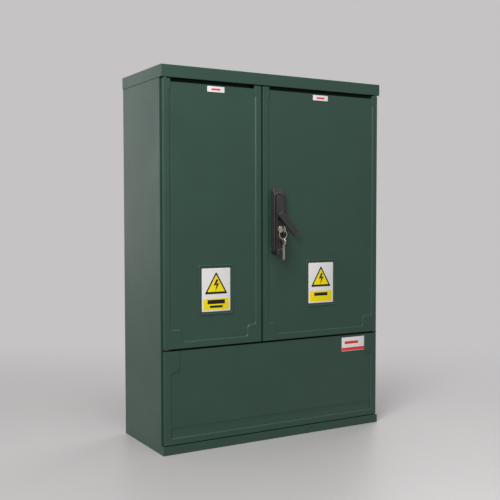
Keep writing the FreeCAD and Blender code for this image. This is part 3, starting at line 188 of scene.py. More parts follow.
def mottle(add, place, scale, low, high, detail=4.0):
    """A noise on object coordinates, mixed between two colours."""
    noise = add("ShaderNodeTexNoise", Vector=place, Scale=scale, Detail=detail, Roughness=0.6)
    ramp = add("ShaderNodeValToRGB", Fac=noise.outputs["Fac"])
    ramp.color_ramp.elements[0].position = 0.3
    ramp.color_ramp.elements[1].position = 0.7
    ramp.color_ramp.elements[0].color = low
    ramp.color_ramp.elements[1].color = high
    return ramp.outputs["Color"]


def spread(add, source, low, high):
    """A noise value carried to a narrow band, for roughness."""
    band = add("ShaderNodeMapRange", Value=source, To_Min=low, To_Max=high)
    return band.outputs["Result"]


def surface(name, colour, roughness, metallic=0.0, grain=400.0, bump=0.05, contrast=0.08, patch=14.0,
            shine=0.5):
    """A finish with a fine grain in its relief, a mottled colour and a roughness that varies."""
    unevenness = 0.06
    material, shader, add, link = new_material(name)
    place = add("ShaderNodeTexCoord").outputs["Object"]
    colour_out = mottle(add, place, patch, shade(colour, 1 - contrast), shade(colour, 1 + contrast))
    link(colour_out, shader.inputs["Base Color"])
    fine = add("ShaderNodeTexNoise", Vector=place, Scale=grain, Detail=3.0, Roughness=0.55)
    broad = add("ShaderNodeTexNoise", Vector=place, Scale=patch * 2.3, Detail=3.0, Roughness=0.6)
    uneven = spread(add, broad.outputs["Fac"], roughness - unevenness, roughness + unevenness)
    link(uneven, shader.inputs["Roughness"])
    relief = add("ShaderNodeBump", Strength=bump, Distance=0.0006, Height=fine.outputs["Fac"])
    link(relief.outputs["Normal"], shader.inputs["Normal"])
    shader.inputs["Metallic"].default_value = metallic
    shader.inputs["Specular IOR Level"].default_value = shine
    return material


def green_grp():
    """Compression-moulded polyester: satin and faintly mottled, with a fine orange-peel relief."""
    green = tuple(colours().green)
    material, shader, add, link = new_material("green_grp")
    place = add("ShaderNodeTexCoord").outputs["Object"]
    mottled = mottle(add, place, 9.0, shade(green, 0.93), shade(green, 1.07), detail=6.0)
    speck = add("ShaderNodeTexNoise", Vector=place, Scale=950.0, Detail=2.0, Roughness=0.7)
    specks = add("ShaderNodeMapRange", Value=speck.outputs["Fac"], From_Min=0.35, From_Max=0.65,
                 To_Min=0.0, To_Max=0.16)
    blend = add("ShaderNodeMix")
    blend.data_type = "RGBA"
    link(specks.outputs["Result"], blend.inputs[0])
    link(mottled, blend.inputs[6])
    blend.inputs[7].default_value = shade(green, 1.5)
    link(blend.outputs[2], shader.inputs["Base Color"])
    peel = add("ShaderNodeTexNoise", Vector=place, Scale=330.0, Detail=2.0, Roughness=0.5)
    patch = add("ShaderNodeTexNoise", Vector=place, Scale=6.0, Detail=5.0, Roughness=0.6)
    link(spread(add, patch.outputs["Fac"], 0.36, 0.52), shader.inputs["Roughness"])
    fine = add("ShaderNodeBump", Strength=0.07, Distance=0.0005, Height=peel.outputs["Fac"])
    link(fine.outputs["Normal"], shader.inputs["Normal"])
    return material


def studio_floor():
    """A pale floor that fades into the surround behind the cabinet."""
    material, shader, add, link = new_material("studio_floor")
    place = add("ShaderNodeTexCoord").outputs["Object"]
    grey = tuple(colours().floor)
    tint = mottle(add, place, 3.0, shade(grey, 0.99), shade(grey, 1.01))
    link(tint, shader.inputs["Base Color"])
    shader.inputs["Roughness"].default_value = 0.4
    away = add("ShaderNodeVectorMath")
    away.operation = "DOT_PRODUCT"
    link(place, away.inputs[0])
    away.inputs[1].default_value = FADE_DIRECTION
    fade = add("ShaderNodeMapRange", Value=away.outputs["Value"], From_Min=FADE_NEAR, From_Max=FADE_FAR)
    fade.interpolation_type = "SMOOTHSTEP"
    glow = add("ShaderNodeEmission", Color=tuple(colours().backdrop) + (1.0,), Strength=1.0)
    blend = add("ShaderNodeMixShader", Fac=fade.outputs["Result"])
    link(shader.outputs["BSDF"], blend.inputs[1])
    link(glow.outputs["Emission"], blend.inputs[2])
    link(blend.outputs["Shader"], material.node_tree.nodes["Material Output"].inputs["Surface"])
    return material


def clear_window():
    """Clear polycarbonate with a faint haze."""
    material, shader, add, link = new_material("clear_window")
    place = add("ShaderNodeTexCoord").outputs["Object"]
    haze = add("ShaderNodeTexNoise", Vector=place, Scale=40.0, Detail=3.0)
    link(spread(add, haze.outputs["Fac"], 0.04, 0.12), shader.inputs["Roughness"])
    shader.inputs["Base Color"].default_value = (0.9, 0.95, 0.95, 1.0)
    shader.inputs["Transmission Weight"].default_value = 0.9
    shader.inputs["Alpha"].default_value = 0.45
    shader.inputs["IOR"].default_value = 1.58
    return material


def make_materials():
    """One finish for each slot of the record, the printed colours, and two darkened finishes that are painted
    shade.
    """
    shell = colours()
    return {
        "green_grp": green_grp(),
        # painted shade: the shell green darkened to three tenths, for parts that sit in the shade of the door
        # gaps
        "shaded_green": surface("shaded_green", tuple(channel * 0.3 for channel in shell.green), 0.6, shine=0.2),
        "grey_grp": surface("grey_grp", tuple(shell.grey), 0.55, grain=300.0, bump=0.08),
        "zinc_steel": surface("zinc_steel", (0.50, 0.50, 0.47), 0.38, metallic=1.0, grain=700.0, patch=60.0,
                              contrast=0.14),
        "rubber": surface("rubber", (0.012, 0.012, 0.012), 0.8, grain=900.0, bump=0.3),
        "black_plastic": surface("black_plastic", tuple(shell.black), 0.42, grain=700.0, bump=0.12,
                                 contrast=0.15, patch=40.0),
        "nickel": surface("nickel", (0.72, 0.66, 0.55), 0.24, metallic=1.0, grain=900.0, patch=90.0,
                          contrast=0.12, bump=0.04),
        "label_white": surface("label_white", (0.60, 0.59, 0.59), 0.38, grain=120.0, bump=0.02,
                               contrast=0.03),
        "brass": surface("brass", (0.60, 0.41, 0.16), 0.34, metallic=1.0, patch=70.0, contrast=0.12),
        "insulator_resin": surface("insulator_resin", (0.20, 0.02, 0.012), 0.3),
        "ceramic": surface("ceramic", (0.70, 0.67, 0.60), 0.2, patch=50.0),
        "pale_plastic": surface("pale_plastic", (0.62, 0.62, 0.58), 0.45, grain=600.0),
        "clear_window": clear_window(),
        "display_glass": surface("display_glass", (0.13, 0.17, 0.12), 0.15, contrast=0.04),
        "print_yellow": surface("print_yellow", tuple(shell.yellow), 0.42, grain=120.0, bump=0.02,
                                contrast=0.03, shine=0.12),
        "print_black": surface("print_black", (0.012, 0.012, 0.012), 0.42, grain=120.0, bump=0.02,
                               shine=0.15),
        "print_red": surface("print_red", tuple(shell.red), 0.42, grain=120.0, bump=0.02, contrast=0.04,
                             shine=0.2),
        # painted shade: a near-black, darker than the handle black, for the shaded back of the handle's
        # recess
        "recess_shade_black": surface("recess_shade_black", (0.006, 0.006, 0.006), 0.6, grain=700.0),
    }


MATERIALS = {}


def finish(name):
    if not MATERIALS:
        MATERIALS.update(make_materials())
    return MATERIALS[name]


# ---------------------------------------------------------------- bmesh helpers

def absorb(target, part, index=0):
    """Moves a part's mesh into the target, with its faces on one material."""
    for face in part.faces:
        face.material_index = index
    mesh = bpy.data.meshes.new("part")
    part.to_mesh(mesh)
    part.free()
    target.from_mesh(mesh)
    bpy.data.meshes.remove(mesh)
    return target


def bevel_edges(part, edges, width, segments=3):
    if edges and width > 0:
        bmesh.ops.bevel(part, geom=edges, offset=width, offset_type="OFFSET", segments=segments, profile=0.5,
                        affect="EDGES", clamp_overlap=True, material=-1)


def sharp_edges(part, degrees=32):
    limit = math.radians(degrees)
    return [edge for edge in part.edges if len(edge.link_faces) == 2 and edge.calc_face_angle(0.0) > limit]


def add_rod(target, start, end, radius, width, sides=48):
    """A round bar between two points, with its rims rounded."""
    start, end = Vector(start), Vector(end)
    part = bmesh.new()
    bmesh.ops.create_cone(part, cap_ends=True, segments=sides, radius1=radius, radius2=radius,
                          depth=(end - start).length)
    bevel_edges(part, sharp_edges(part, 50), width)
    turn = (end - start).to_track_quat("Z", "Y").to_matrix().to_4x4()
    bmesh.ops.transform(part, matrix=Matrix.Translation((start + end) / 2) @ turn, verts=part.verts)
    return absorb(target, part)


def add_plate(target, loops, front, back, width, index=0, matrix=None):
    """A flat plate with any holes: outlines of (x, z), stood up facing -Y, its rims rounded by the width."""
    curve = bpy.data.curves.new("outline", "CURVE")
    curve.dimensions = "2D"
    curve.fill_mode = "BOTH"
    for loop in loops:
        spline = curve.splines.new("POLY")
        spline.points.add(len(loop) - 1)
        for point, (across, up) in zip(spline.points, loop):
            point.co = (across, up, 0.0, 1.0)
        spline.use_cyclic_u = True
    curve.extrude = max((back - front) / 2 - width, 0.0)
    curve.bevel_depth = width
    curve.bevel_resolution = 2
    curve.offset = -width
    holder = bpy.data.objects.new("outline", curve)
    mesh = bpy.data.meshes.new_from_object(holder)
    part = bmesh.new()
    part.from_mesh(mesh)
    bpy.data.objects.remove(holder)
    bpy.data.curves.remove(curve)
    bpy.data.meshes.remove(mesh)
    bmesh.ops.remove_doubles(part, verts=part.verts, dist=1e-6)
    bmesh.ops.transform(part, matrix=Matrix.Translation((0, (front + back) / 2, 0)) @ UPRIGHT,
                        verts=part.verts)
    if matrix:
        bmesh.ops.transform(part, matrix=matrix, verts=part.verts)
    bmesh.ops.recalc_face_normals(part, faces=part.faces)
    return absorb(target, part, index)


def arc(centre, radius, start, end, steps):
    """Points along a circle between two angles in degrees."""
    points = []
    for step in range(steps + 1):
        angle = math.radians(start + (end - start) * step / steps)
        points.append((centre[0] + radius * math.cos(angle), centre[1] + radius * math.sin(angle)))
    return points


def circle(radius, centre=(0, 0), steps=24):
    """The outline of a round hole, clockwise."""
    return arc(centre, radius, 360, 0, steps)[:-1]


def rounded(x_low, x_high, z_low, z_high, radius):
    """The outline of a rectangle with round corners."""
    corners = (((x_high - radius, z_high - radius), 0), ((x_low + radius, z_high - radius), 90),
               ((x_low + radius, z_low + radius), 180), ((x_high - radius, z_low + radius), 270))
    return [point for centre, start in corners
            for point in arc(centre, radius, start, start + 90, CORNER_STEPS)]


def piece(part, name, finishes, node, body=None, angle=32, weighted=True):
    """Makes an object of a mesh, gives it its finishes and hangs it on the body of the node it stands for."""
    mesh = bpy.data.meshes.new(name)
    part.to_mesh(mesh)
    part.free()
    mesh.shade_smooth()
    mesh.set_sharp_from_angle(angle=math.radians(angle))
    for finish_name in finishes:
        mesh.materials.append(finish(finish_name))
    made = bpy.data.objects.new(name, mesh)
    bpy.context.scene.collection.objects.link(made)
    if weighted:
        normals = made.modifiers.new("Even shading", "WEIGHTED_NORMAL")
        normals.keep_sharp = True
        normals.weight = 80
    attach(made, body or NODE_BODY[node])
    if node and not body:
        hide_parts(node)
    return made


def copied(node):
    """A merged copy of a node's mesh, its flat faces whole again."""
    part = bmesh.new()
    part.from_mesh(frame["nodes"][node].data)
    bmesh.ops.remove_doubles(part, verts=part.verts, dist=MERGE_DISTANCE)
    bmesh.ops.dissolve_limit(part, angle_limit=math.radians(0.6), verts=part.verts, edges=part.edges,
                             use_dissolve_boundaries=False)
    return part


def softened(node, width, segments=2, look=None):
    """The node's own shape with every sharp edge rounded."""
    part = copied(node)
    bevel_edges(part, sharp_edges(part), width, segments)
    return piece(part, f"{node}_finished", [look or NODE_SLOT[node]], node)


def span(node):
    """Lowest and highest corners of a node."""
    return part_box(node)


# ---------------------------------------------------------------- moulded doors and panel

def turned_corners(corners):
    """An outline of (x, z, radius) with square corners, each one rounded."""
    points = []
    for number, (across, up, radius) in enumerate(corners):
        here = Vector((across, up))
        if radius <= 0:
            points.append((across, up))
            continue
        way_in = (Vector(corners[number - 1][:2]) - here).normalized()
        way_out = (Vector(corners[(number + 1) % len(corners)][:2]) - here).normalized()
        centre = here + (way_in + way_out) * radius
        for step in range(MOULDED_CORNER_STEPS + 1):
            angle = math.radians(90 * step / MOULDED_CORNER_STEPS)
            point = centre - way_out * radius * math.cos(angle) - way_in * radius * math.sin(angle)
            points.append(tuple(point))
    return points


def grown(corners, amounts):
    """The outline with each edge moved outwards by its own amount.

    Amount n belongs to the edge after corner n.
    """
    moved = []
    for number, (across, up, radius) in enumerate(corners):
        here = Vector((across, up))
        way_in = (here - Vector(corners[number - 1][:2])).normalized()
        way_out = (Vector(corners[(number + 1) % len(corners)][:2]) - here).normalized()
        place = here
        for way, amount in ((way_in, amounts[number - 1]), (way_out, amounts[number])):
            place = place + Vector((way.y, -way.x)) * amount
        turn = 1 if way_in.x * way_out.y - way_in.y * way_out.x > 0 else -1
        share = min(abs(amounts[number - 1]), abs(amounts[number]))
        moved.append((place.x, place.y, radius + turn * share if radius > 0 else 0.0))
    return moved


def add_moulding(target, front_corners, back_corners, front, back, width):
    """A closed shell between two outlines of as many points, with its front rim rounded."""
    part = bmesh.new()
    rims = []
    for corners, depth in ((front_corners, front), (back_corners, back)):
        rims.append([part.verts.new((across, depth, up)) for across, up in turned_corners(corners)])
    front_rim, back_rim = rims
    cap = part.faces.new(front_rim)
    part.faces.new(back_rim[::-1])
    for number, vert in enumerate(front_rim):
        part.faces.new((front_rim[number - 1], back_rim[number - 1], back_rim[number], vert))
    bmesh.ops.recalc_face_normals(part, faces=part.faces)
    bevel_edges(part, cap.edges[:], width)
    return absorb(target, part)


def flattened(node):
    """The node's own shape with its raised border pressed back to the floor of the sunk field."""
    part = copied(node)
    low, high = span(node)
    floor_y = low.y + field_depth()
    for vert in part.verts:
        vert.co.y = max(vert.co.y, floor_y)
    bmesh.ops.remove_doubles(part, verts=part.verts, dist=MERGE_DISTANCE)
    bmesh.ops.dissolve_degenerate(part, dist=1e-6, edges=part.edges)
    return part, low, high, floor_y


def door_piece(node, name):
    """A door leaf: a raised border with sloping inner walls and two ears, laid on the leaf's flat skin."""
    shell = sizes()
    part, low, high, floor_y = flattened(node)
    left_hung = high.x < span("handle_housing")[0].x
    notch_left, notch_right = shell.notch_width, shell.free_notch_width
    hinge_draft, plain_draft = -1.5 * MM, -0.3 * MM      # set-back of the front rim
    draft_right, draft_left = plain_draft, hinge_draft
    if not left_hung:
        notch_left, notch_right = notch_right, notch_left
        draft_left, draft_right = draft_right, draft_left
    left, right = low.x + shell.field_inset, high.x - shell.field_inset
    ear_left, ear_right = low.x + shell.ear_width, high.x - shell.ear_width
    bottom = low.z + shell.field_inset
    step, ear = bottom + shell.notch_height, high.z - shell.ear_height
    turn, small = shell.field_corner, 1.4 * MM
    corners = [
        (low.x, low.z, LEAF_CORNER), (high.x, low.z, LEAF_CORNER), (high.x, high.z, LEAF_CORNER),
        (ear_right, high.z, 0), (ear_right, ear, small), (right, ear, small),
        (right, step, turn), (right - notch_right, step, turn), (right - notch_right, bottom, turn),
        (left + notch_left, bottom, turn), (left + notch_left, step, turn), (left, step, turn),
        (left, ear, small), (ear_left, ear, small), (ear_left, high.z, 0), (low.x, high.z, LEAF_CORNER),
    ]
    ear_side, ear_foot = 0.6 * MM, 1.0 * MM              # slopes beside and under the ears
    front = [plain_draft, draft_right, plain_draft, 0] + [0] * 10 + [plain_draft, draft_left]
    back = [0, 0, 0, ear_side, ear_foot] + [shell.field_slope] * 7 + [ear_foot, ear_side, 0, 0]
    add_moulding(part, grown(corners, front), grown(corners, back), low.y, floor_y + LEAF_OVERLAP,
                 MOULDED_RIM)
    return piece(part, name, [NODE_SLOT[node]], node, angle=MOULDED_SMOOTH_ANGLE)


def field_depth():
    """Depth of the doors' sunk field, from where the printed plates lie on it."""
    door_low = span("left_door")[0]
    plate_high = span("left_warning_plate")[1]
    return plate_high.y - door_low.y


# ---------------------------------------------------------------- printed plates

def triangle(centre_x, centre_z, half, corner):
    """A warning triangle, point up, with round corners."""
    rise = half * math.sqrt(3) / 2
    tips = ((centre_x, centre_z + rise, 30, 270), (centre_x - half, centre_z - rise, 150, 30),
            (centre_x + half, centre_z - rise, 270, 150))
    points = []
    for tip_x, tip_z, start, inwards in tips:
        way = math.radians(inwards)
        middle = (tip_x + corner * 2 * math.cos(way), tip_z + corner * 2 * math.sin(way))
        points += arc(middle, corner, start, start + 120, CORNER_STEPS)
    return points


def flash(centre_x, centre_z, height):
    """A plain zigzag: two slanted strokes and a point."""
    shape = [(0.02, 0.50), (-0.24, -0.02), (0.03, 0.06), (-0.08, -0.50), (0.28, 0.20), (0.02, 0.12),
             (0.20, 0.46)]
    return [(centre_x + across * height, centre_z + up * height) for across, up in shape]


class CABINET_OT_warning_plates(bpy.types.Operator):
    """Adds the two warning plates with their printed layers, and the moulded beads round them"""
    bl_idname = "cabinet.warning_plates"
    bl_label = "Warning plates"

    def execute(self, context):
        for side in ("left", "right"):
            self.sign(side)
            self.bead(side)
        return {"FINISHED"}

    def sign(self, side):
        """A white plate: a triangle with a zigzag, and a yellow band with black bars below it."""
        white, black, yellow = range(3)
        node = f"{side}_warning_plate"
        low, high = span(node)
        middle = (low.x + high.x) / 2
        width, height = high.x - low.x, high.z - low.z
        step = sizes().print_step
        front = low.y + step * 3
        plate_rim, print_rim, bar_rim, flash_rim = 0.2 * MM, 0.04 * MM, 0.03 * MM, 0.02 * MM
        part = bmesh.new()

        def printed(outline, layer, rim, ink):
            """Lays an outline on the plate, in the numbered layer."""
            add_plate(part, [outline], front - step * layer, front - step * (layer - 1), rim, ink)

        add_plate(part, [rounded(low.x, high.x, low.z, high.z, 2.5 * MM)], front, high.y, plate_rim, white)
        sign_z, half = low.z + height * 0.66, width * 0.40
        printed(triangle(middle, sign_z, half, 1.6 * MM), 1, print_rim, black)
        printed(triangle(middle, sign_z - half * 0.03, half * 0.77, 0.9 * MM), 2, print_rim, yellow)
        printed(flash(middle, sign_z - half * 0.20, half * 0.96), 3, flash_rim, black)
        inset = width * 0.05
        band_low, band_high = low.z + inset, low.z + height * 0.30
        printed(rounded(low.x + inset, high.x - inset, band_low, band_high, 0.8 * MM), 1, print_rim, yellow)
        band = band_high - band_low
        one_row, two_rows = ((0.68, 0.30, 0.60),), ((0.70, 0.36, 0.68), (0.28, 0.20, 0.50))
        for share, thick, reach in one_row if side == "right" else two_rows:      # shares of the band
            row_z, half_thick = band_low + band * share, band * thick / 2
            half_reach = (width / 2 - inset) * reach
            bar = rounded(middle - half_reach, middle + half_reach, row_z - half_thick, row_z + half_thick,
                          0.5 * MM)
            printed(bar, 2, bar_rim, black)
        piece(part, f"{side}_warning_sign", ["label_white", "print_black", "print_yellow"], node,
              weighted=False)

    def bead(self, side):
        """The low frame moulded on the door round the plate."""
        low, high = span(f"{side}_warning_plate")
        margin, wide, rise, corner = 8.5 * MM, 4.6 * MM, 1.7 * MM, 4 * MM
        crest = 0.02 * MM        # half the thickness left flat at the outer and inner rims
        inner = margin - wide
        outline = rounded(low.x - margin, high.x + margin, low.z - margin, high.z + margin, corner)
        opening = rounded(low.x - inner, high.x + inner, low.z - inner, high.z + inner, corner - wide / 2)
        part = bmesh.new()
        add_plate(part, [outline, opening], high.y - rise, high.y + rise, rise - crest)
        piece(part, f"{side}_plate_bead", ["green_grp"], None, body=f"{side}_door")


class CABINET_OT_stickers(bpy.types.Operator):
    """Adds the small plates at the tops of the doors and the larger one on the lower panel"""
    bl_idname = "cabinet.stickers"
    bl_label = "Stickers"

    def execute(self, context):
        step = sizes().print_step
        plate_rim, bar_rim = 0.2 * MM, 0.03 * MM
        # each bar's two shares of the plate's width, then of its height
        panel_bars = ((0.0, 1.0, 0.03, 0.26), (0.12, 0.72, 0.52, 0.72))
        door_bars = ((0.24, 0.76, 0.32, 0.64),)
        for node in ("left_sticker", "right_sticker", "panel_sticker"):
            low, high = span(node)
            width, height = high.x - low.x, high.z - low.z
            front = low.y + step * 2
            part = bmesh.new()
            add_plate(part, [rounded(low.x, high.x, low.z, high.z, 1.2 * MM)], front, high.y, plate_rim)
            for x_low, x_high, z_low, z_high in panel_bars if node == "panel_sticker" else door_bars:
                bar = rounded(low.x + width * x_low, low.x + width * x_high, low.z + height * z_low,
                              low.z + height * z_high, 0.5 * MM)
                add_plate(part, [bar], front - step, front, bar_rim, 1)
            piece(part, f"{node}_print", ["label_white", "print_red"], node, weighted=False)
        return {"FINISHED"}


# ---------------------------------------------------------------- shell

class CABINET_OT_roof(bpy.types.Operator):
    """Adds the roof cap with its rounded rim and low crown"""
    bl_idname = "cabinet.roof"
    bl_label = "Roof"

    def execute(self, context):
        softened("roof", sizes().edge, 3)
        return {"FINISHED"}


class CABINET_OT_walls(bpy.types.Operator):
    """Adds the side walls, rear wall and base frame with rounded edges"""
    bl_idname = "cabinet.walls"
    bl_label = "Walls and base"

    def execute(self, context):
        for node in ("side_wall_left", "side_wall_right", "rear_wall", "base_frame"):
            softened(node, sizes().edge * 0.7, 3)
        return {"FINISHED"}


class CABINET_OT_doors(bpy.types.Operator):
    """Adds the two moulded doors"""
    bl_idname = "cabinet.doors"
    bl_label = "Doors"

    def execute(self, context):
        door_piece("left_door", "left_door_leaf")
        door_piece("right_door", "right_door_leaf")
        return {"FINISHED"}


class CABINET_OT_lower_panel(bpy.types.Operator):
    """Adds the panel over the cable space"""
    bl_idname = "cabinet.lower_panel"
    bl_label = "Lower panel"

    def execute(self, context):
        shell = sizes()
        part, low, high, floor_y = flattened("lower_panel")
        groove_near, groove_far = floor_y + 0.1 * MM, floor_y + 2 * MM
        groove = [vert for vert in part.verts if groove_near < vert.co.y < groove_far]
        rims = [vert.co.z for vert in groove]
        middle = (min(rims) + max(rims)) / 2
        for vert in groove:
            vert.co.z += shell.groove_slope if vert.co.z < middle else -shell.groove_slope * 0.5
        inset, shoulder_width, field_low, shoulder = 16.5 * MM, 24 * MM, 38 * MM, 203 * MM
        wide, narrow = high.x - inset, high.x - inset - shoulder_width
        turn, small = 11 * MM, 3.5 * MM
        corners = [
            (low.x, low.z, LEAF_CORNER), (high.x, low.z, LEAF_CORNER), (high.x, high.z, LEAF_CORNER),
            (narrow, high.z, 0), (narrow, shoulder, turn), (wide, shoulder, turn), (wide, field_low, small),
            (-wide, field_low, small), (-wide, shoulder, turn), (-narrow, shoulder, turn),
            (-narrow, high.z, 0), (low.x, high.z, LEAF_CORNER),
        ]
        end_draft, side_draft = -0.3 * MM, -1.2 * MM
        front = [end_draft, side_draft, end_draft] + [0] * 7 + [end_draft, side_draft]
        back = [0, 0, 0] + [shell.field_slope] * 7 + [0, 0]
        add_moulding(part, grown(corners, front), grown(corners, back), low.y, floor_y + LEAF_OVERLAP,
                     MOULDED_RIM)
        piece(part, "lower_panel_leaf", ["green_grp"], "lower_panel", angle=MOULDED_SMOOTH_ANGLE)
        return {"FINISHED"}


# ---------------------------------------------------------------- handle, lock and keys

class CABINET_OT_handle(bpy.types.Operator):
    """Adds the black surround with its arched recess, and the lock body with its finger grip"""
    bl_idname = "cabinet.handle"
    bl_label = "Handle"

    def execute(self, context):
        low, high = span("handle_housing")
        middle = (low.x + high.x) / 2
        body_low, body_high = span("handle_insert")
        half = (body_high.x - body_low.x) / 2
        arch_radius = half + 2.0 * MM                    # clear of the lock body by 2 mm
        arch_z = body_high.z - half
        corner = 3.5 * MM
        outline = arc((high.x - corner, high.z - corner), corner, 0, 90, CORNER_STEPS)
        outline += arc((low.x + corner, high.z - corner), corner, 90, 180, CORNER_STEPS)
        outline += arc((low.x + corner, low.z + corner), corner, 180, 270, CORNER_STEPS)
        outline += [(middle - arch_radius, low.z), (middle - arch_radius, arch_z)]
        outline += arc((middle, arch_z), arch_radius, 180, 0, 24)[1:-1]
        outline += [(middle + arch_radius, arch_z), (middle + arch_radius, low.z)]
        outline += arc((high.x - corner, low.z + corner), corner, 270, 360, CORNER_STEPS)
        foot, foot_front = 2 * MM, 2.6 * MM              # the narrower foot reaches up into the surround
        foot_side, foot_end, hidden_rim = 1.6 * MM, 0.6 * MM, 0.2 * MM
        part = bmesh.new()
        add_plate(part, [outline], low.y, high.y - foot, 1.1 * MM)
        shaped_top(part, middle, low, high)
        foot_outline = rounded(low.x + foot_side, high.x - foot_side, low.z + foot_end, high.z - foot_end,
                               corner)
        add_plate(part, [foot_outline], high.y - foot_front, high.y, hidden_rim)
        # the back of the well behind the lock body is a near-black sheet, painted shade for the dark gap
        # round the lock body
        reach = arch_radius + 1 * MM
        well_back = rounded(middle - reach, middle + reach, low.z + 1 * MM, arch_z + reach, 6 * MM)
        add_plate(part, [well_back], body_high.y, high.y - 1 * MM, hidden_rim, 1)
        piece(part, "handle_surround", ["black_plastic", "recess_shade_black"], "handle_housing")
        self.lock_body(body_low, body_high, middle, arch_z)
        softened("handle_screws", 0.3 * MM)
        return {"FINISHED"}

    def lock_body(self, low, high, middle, arch_z):
        """The arched body: a rim round a shallow well, holes for spindle and lock, and a grip below."""
        half = (high.x - low.x) / 2
        spindle_z = (span("handle_spindle")[0].z + span("handle_spindle")[1].z) / 2
        lock_low, lock_high = span("lock_cylinder")
        lock_z = (lock_low.z + lock_high.z) / 2
        face, depth, bottom_corner = lock_low.y + 1.5 * MM, 5 * MM, 5 * MM
        outline = arc((middle, arch_z), half, 0, 180, 28)
        outline += arc((middle - half + bottom_corner, low.z + bottom_corner), bottom_corner, 180, 270,
                       CORNER_STEPS)
        outline += arc((middle + half - bottom_corner, low.z + bottom_corner), bottom_corner, 270, 360,
                       CORNER_STEPS)
        well_low, well_high, well_wall = low.z + 19 * MM, spindle_z - 9.5 * MM, 2.6 * MM
        well = rounded(middle - half + well_wall, middle + half - well_wall, well_low, well_high, 3 * MM)
        part = bmesh.new()
        add_plate(part, [outline, well[::-1]], face, face + depth, 0.7 * MM)
        spindle_bore, lock_bore = 4.3 * MM, (lock_high.x - lock_low.x) / 2 + 0.1 * MM
        bores = [circle(spindle_bore, (middle, spindle_z), 32), circle(lock_bore, (middle, lock_z), 40)]
        add_plate(part, [outline] + bores, face + depth, high.y, 0.1 * MM)
        collar = [arc((middle, lock_z), 10.2 * MM, 0, 360, 40)[:-1], bores[1]]
        add_plate(part, collar, face + depth * 0.35, face + depth + 0.3 * MM, 0.4 * MM)
        grip_height, grip_corner, grip_rim = 16 * MM, 4.5 * MM, 1.6 * MM
        grip = rounded(middle - half, middle + half, low.z, low.z + grip_height, grip_corner)
        add_plate(part, [grip], low.y, face + 1 * MM, grip_rim)
        first_rib, rib_pitch, rib_radius, rib_sunk = 4.5, 3.4, 0.55 * MM, 0.3 * MM
        rib_half = half - 4 * MM
        for row in range(3):
            rib_y, rib_z = low.y + rib_sunk, low.z + (first_rib + row * rib_pitch) * MM
            add_rod(part, (middle - rib_half, rib_y, rib_z), (middle + rib_half, rib_y, rib_z), rib_radius,
                    0.2 * MM, sides=16)
        piece(part, "lock_body", ["black_plastic"], "handle_insert")


class CABINET_OT_lever(bpy.types.Operator):
    """Adds the turning lever, its spindle and the cam plate"""
    bl_idname = "cabinet.lever"
    bl_label = "Lever"

    def execute(self, context):
        low, high = span("handle_lever")
        pivot, far = lever_reach()
        half, ahead, thick = 8.75 * MM, 2.5 * MM, 5 * MM     # ahead: the bar's shift along its axis
        hub_radius = 8.6 * MM
        turn = Matrix.Translation(pivot) @ Matrix.Rotation(math.atan2(-far.x, -far.z), 4, "Y")
        part = bmesh.new()
        bar = rounded(-half, half, -far.length - ahead, half - ahead, 1.2 * MM)
        add_plate(part, [bar], low.y, low.y + thick, 0.8 * MM, matrix=turn)
        hub_start, hub_end = (pivot.x, low.y + thick - 1 * MM, pivot.z), (pivot.x, high.y, pivot.z)
        add_rod(part, hub_start, hub_end, hub_radius, 0.3 * MM)
        piece(part, "turning_lever", ["black_plastic"], "handle_lever")
        softened("handle_spindle", 0.4 * MM)
        softened("cam_plate", 0.4 * MM)
        return {"FINISHED"}


def shaped_top(part, middle, low, high):
    """Slopes the surround's top end back to the door, and drafts its two long sides."""
    start, drop, draft = high.z - 20 * MM, 13 * MM, 1.5 * MM
    sides_from, narrowing = 15.5 * MM, 0.1
    bmesh.ops.bisect_plane(part, geom=part.verts[:] + part.edges[:] + part.faces[:], plane_co=(0, 0, start),
                           plane_no=(0, 0, 1), dist=1e-6)
    depth = high.y - low.y
    for vert in part.verts:
        forward = (high.y - vert.co.y) / depth
        if abs(vert.co.x - middle) > sides_from:
            vert.co.x += draft * forward * (1 if vert.co.x < middle else -1)
        if vert.co.z > start:
            rise = (vert.co.z - start) / (high.z - start)
            vert.co.y += drop * rise * forward
            vert.co.x += (middle - vert.co.x) * narrowing * rise


def lever_reach():
    """The lever's pivot, and the middle of its square end as seen from there."""
    spindle_low, spindle_high = span("handle_spindle")
    pivot = Vector(((spindle_low.x + spindle_high.x) / 2, 0, (spindle_low.z + spindle_high.z) / 2))
    source = copied("handle_lever")
    places = [Vector((vert.co.x - pivot.x, 0, vert.co.z - pivot.z)) for vert in source.verts]
    source.free()
    reach = max(place.length for place in places)
    ends = [place for place in places if place.length > reach - 0.2 * MM]
    return pivot, sum(ends, Vector()) / len(ends)


def key_outline(bow, length, teeth):
    """A flat key pointing down from its bow: shoulders, a straight back and a cut edge."""
    half, shoulder, tip = 4.0 * MM, -bow * 0.98, -length
    outline = arc((0, 0), bow, -62, 242, 30)
    outline += [(-half, shoulder), (-half, tip + 3 * MM), (-half * 0.2, tip)]
    step = (length - bow * 1.5) / len(teeth)
    for number, cut in enumerate(teeth):
        down = tip + 2.2 * MM + step * number
        outline += [(half * cut, down), (half * cut, down + step * 0.45)]
    outline.append((half, shoulder))
    return outline


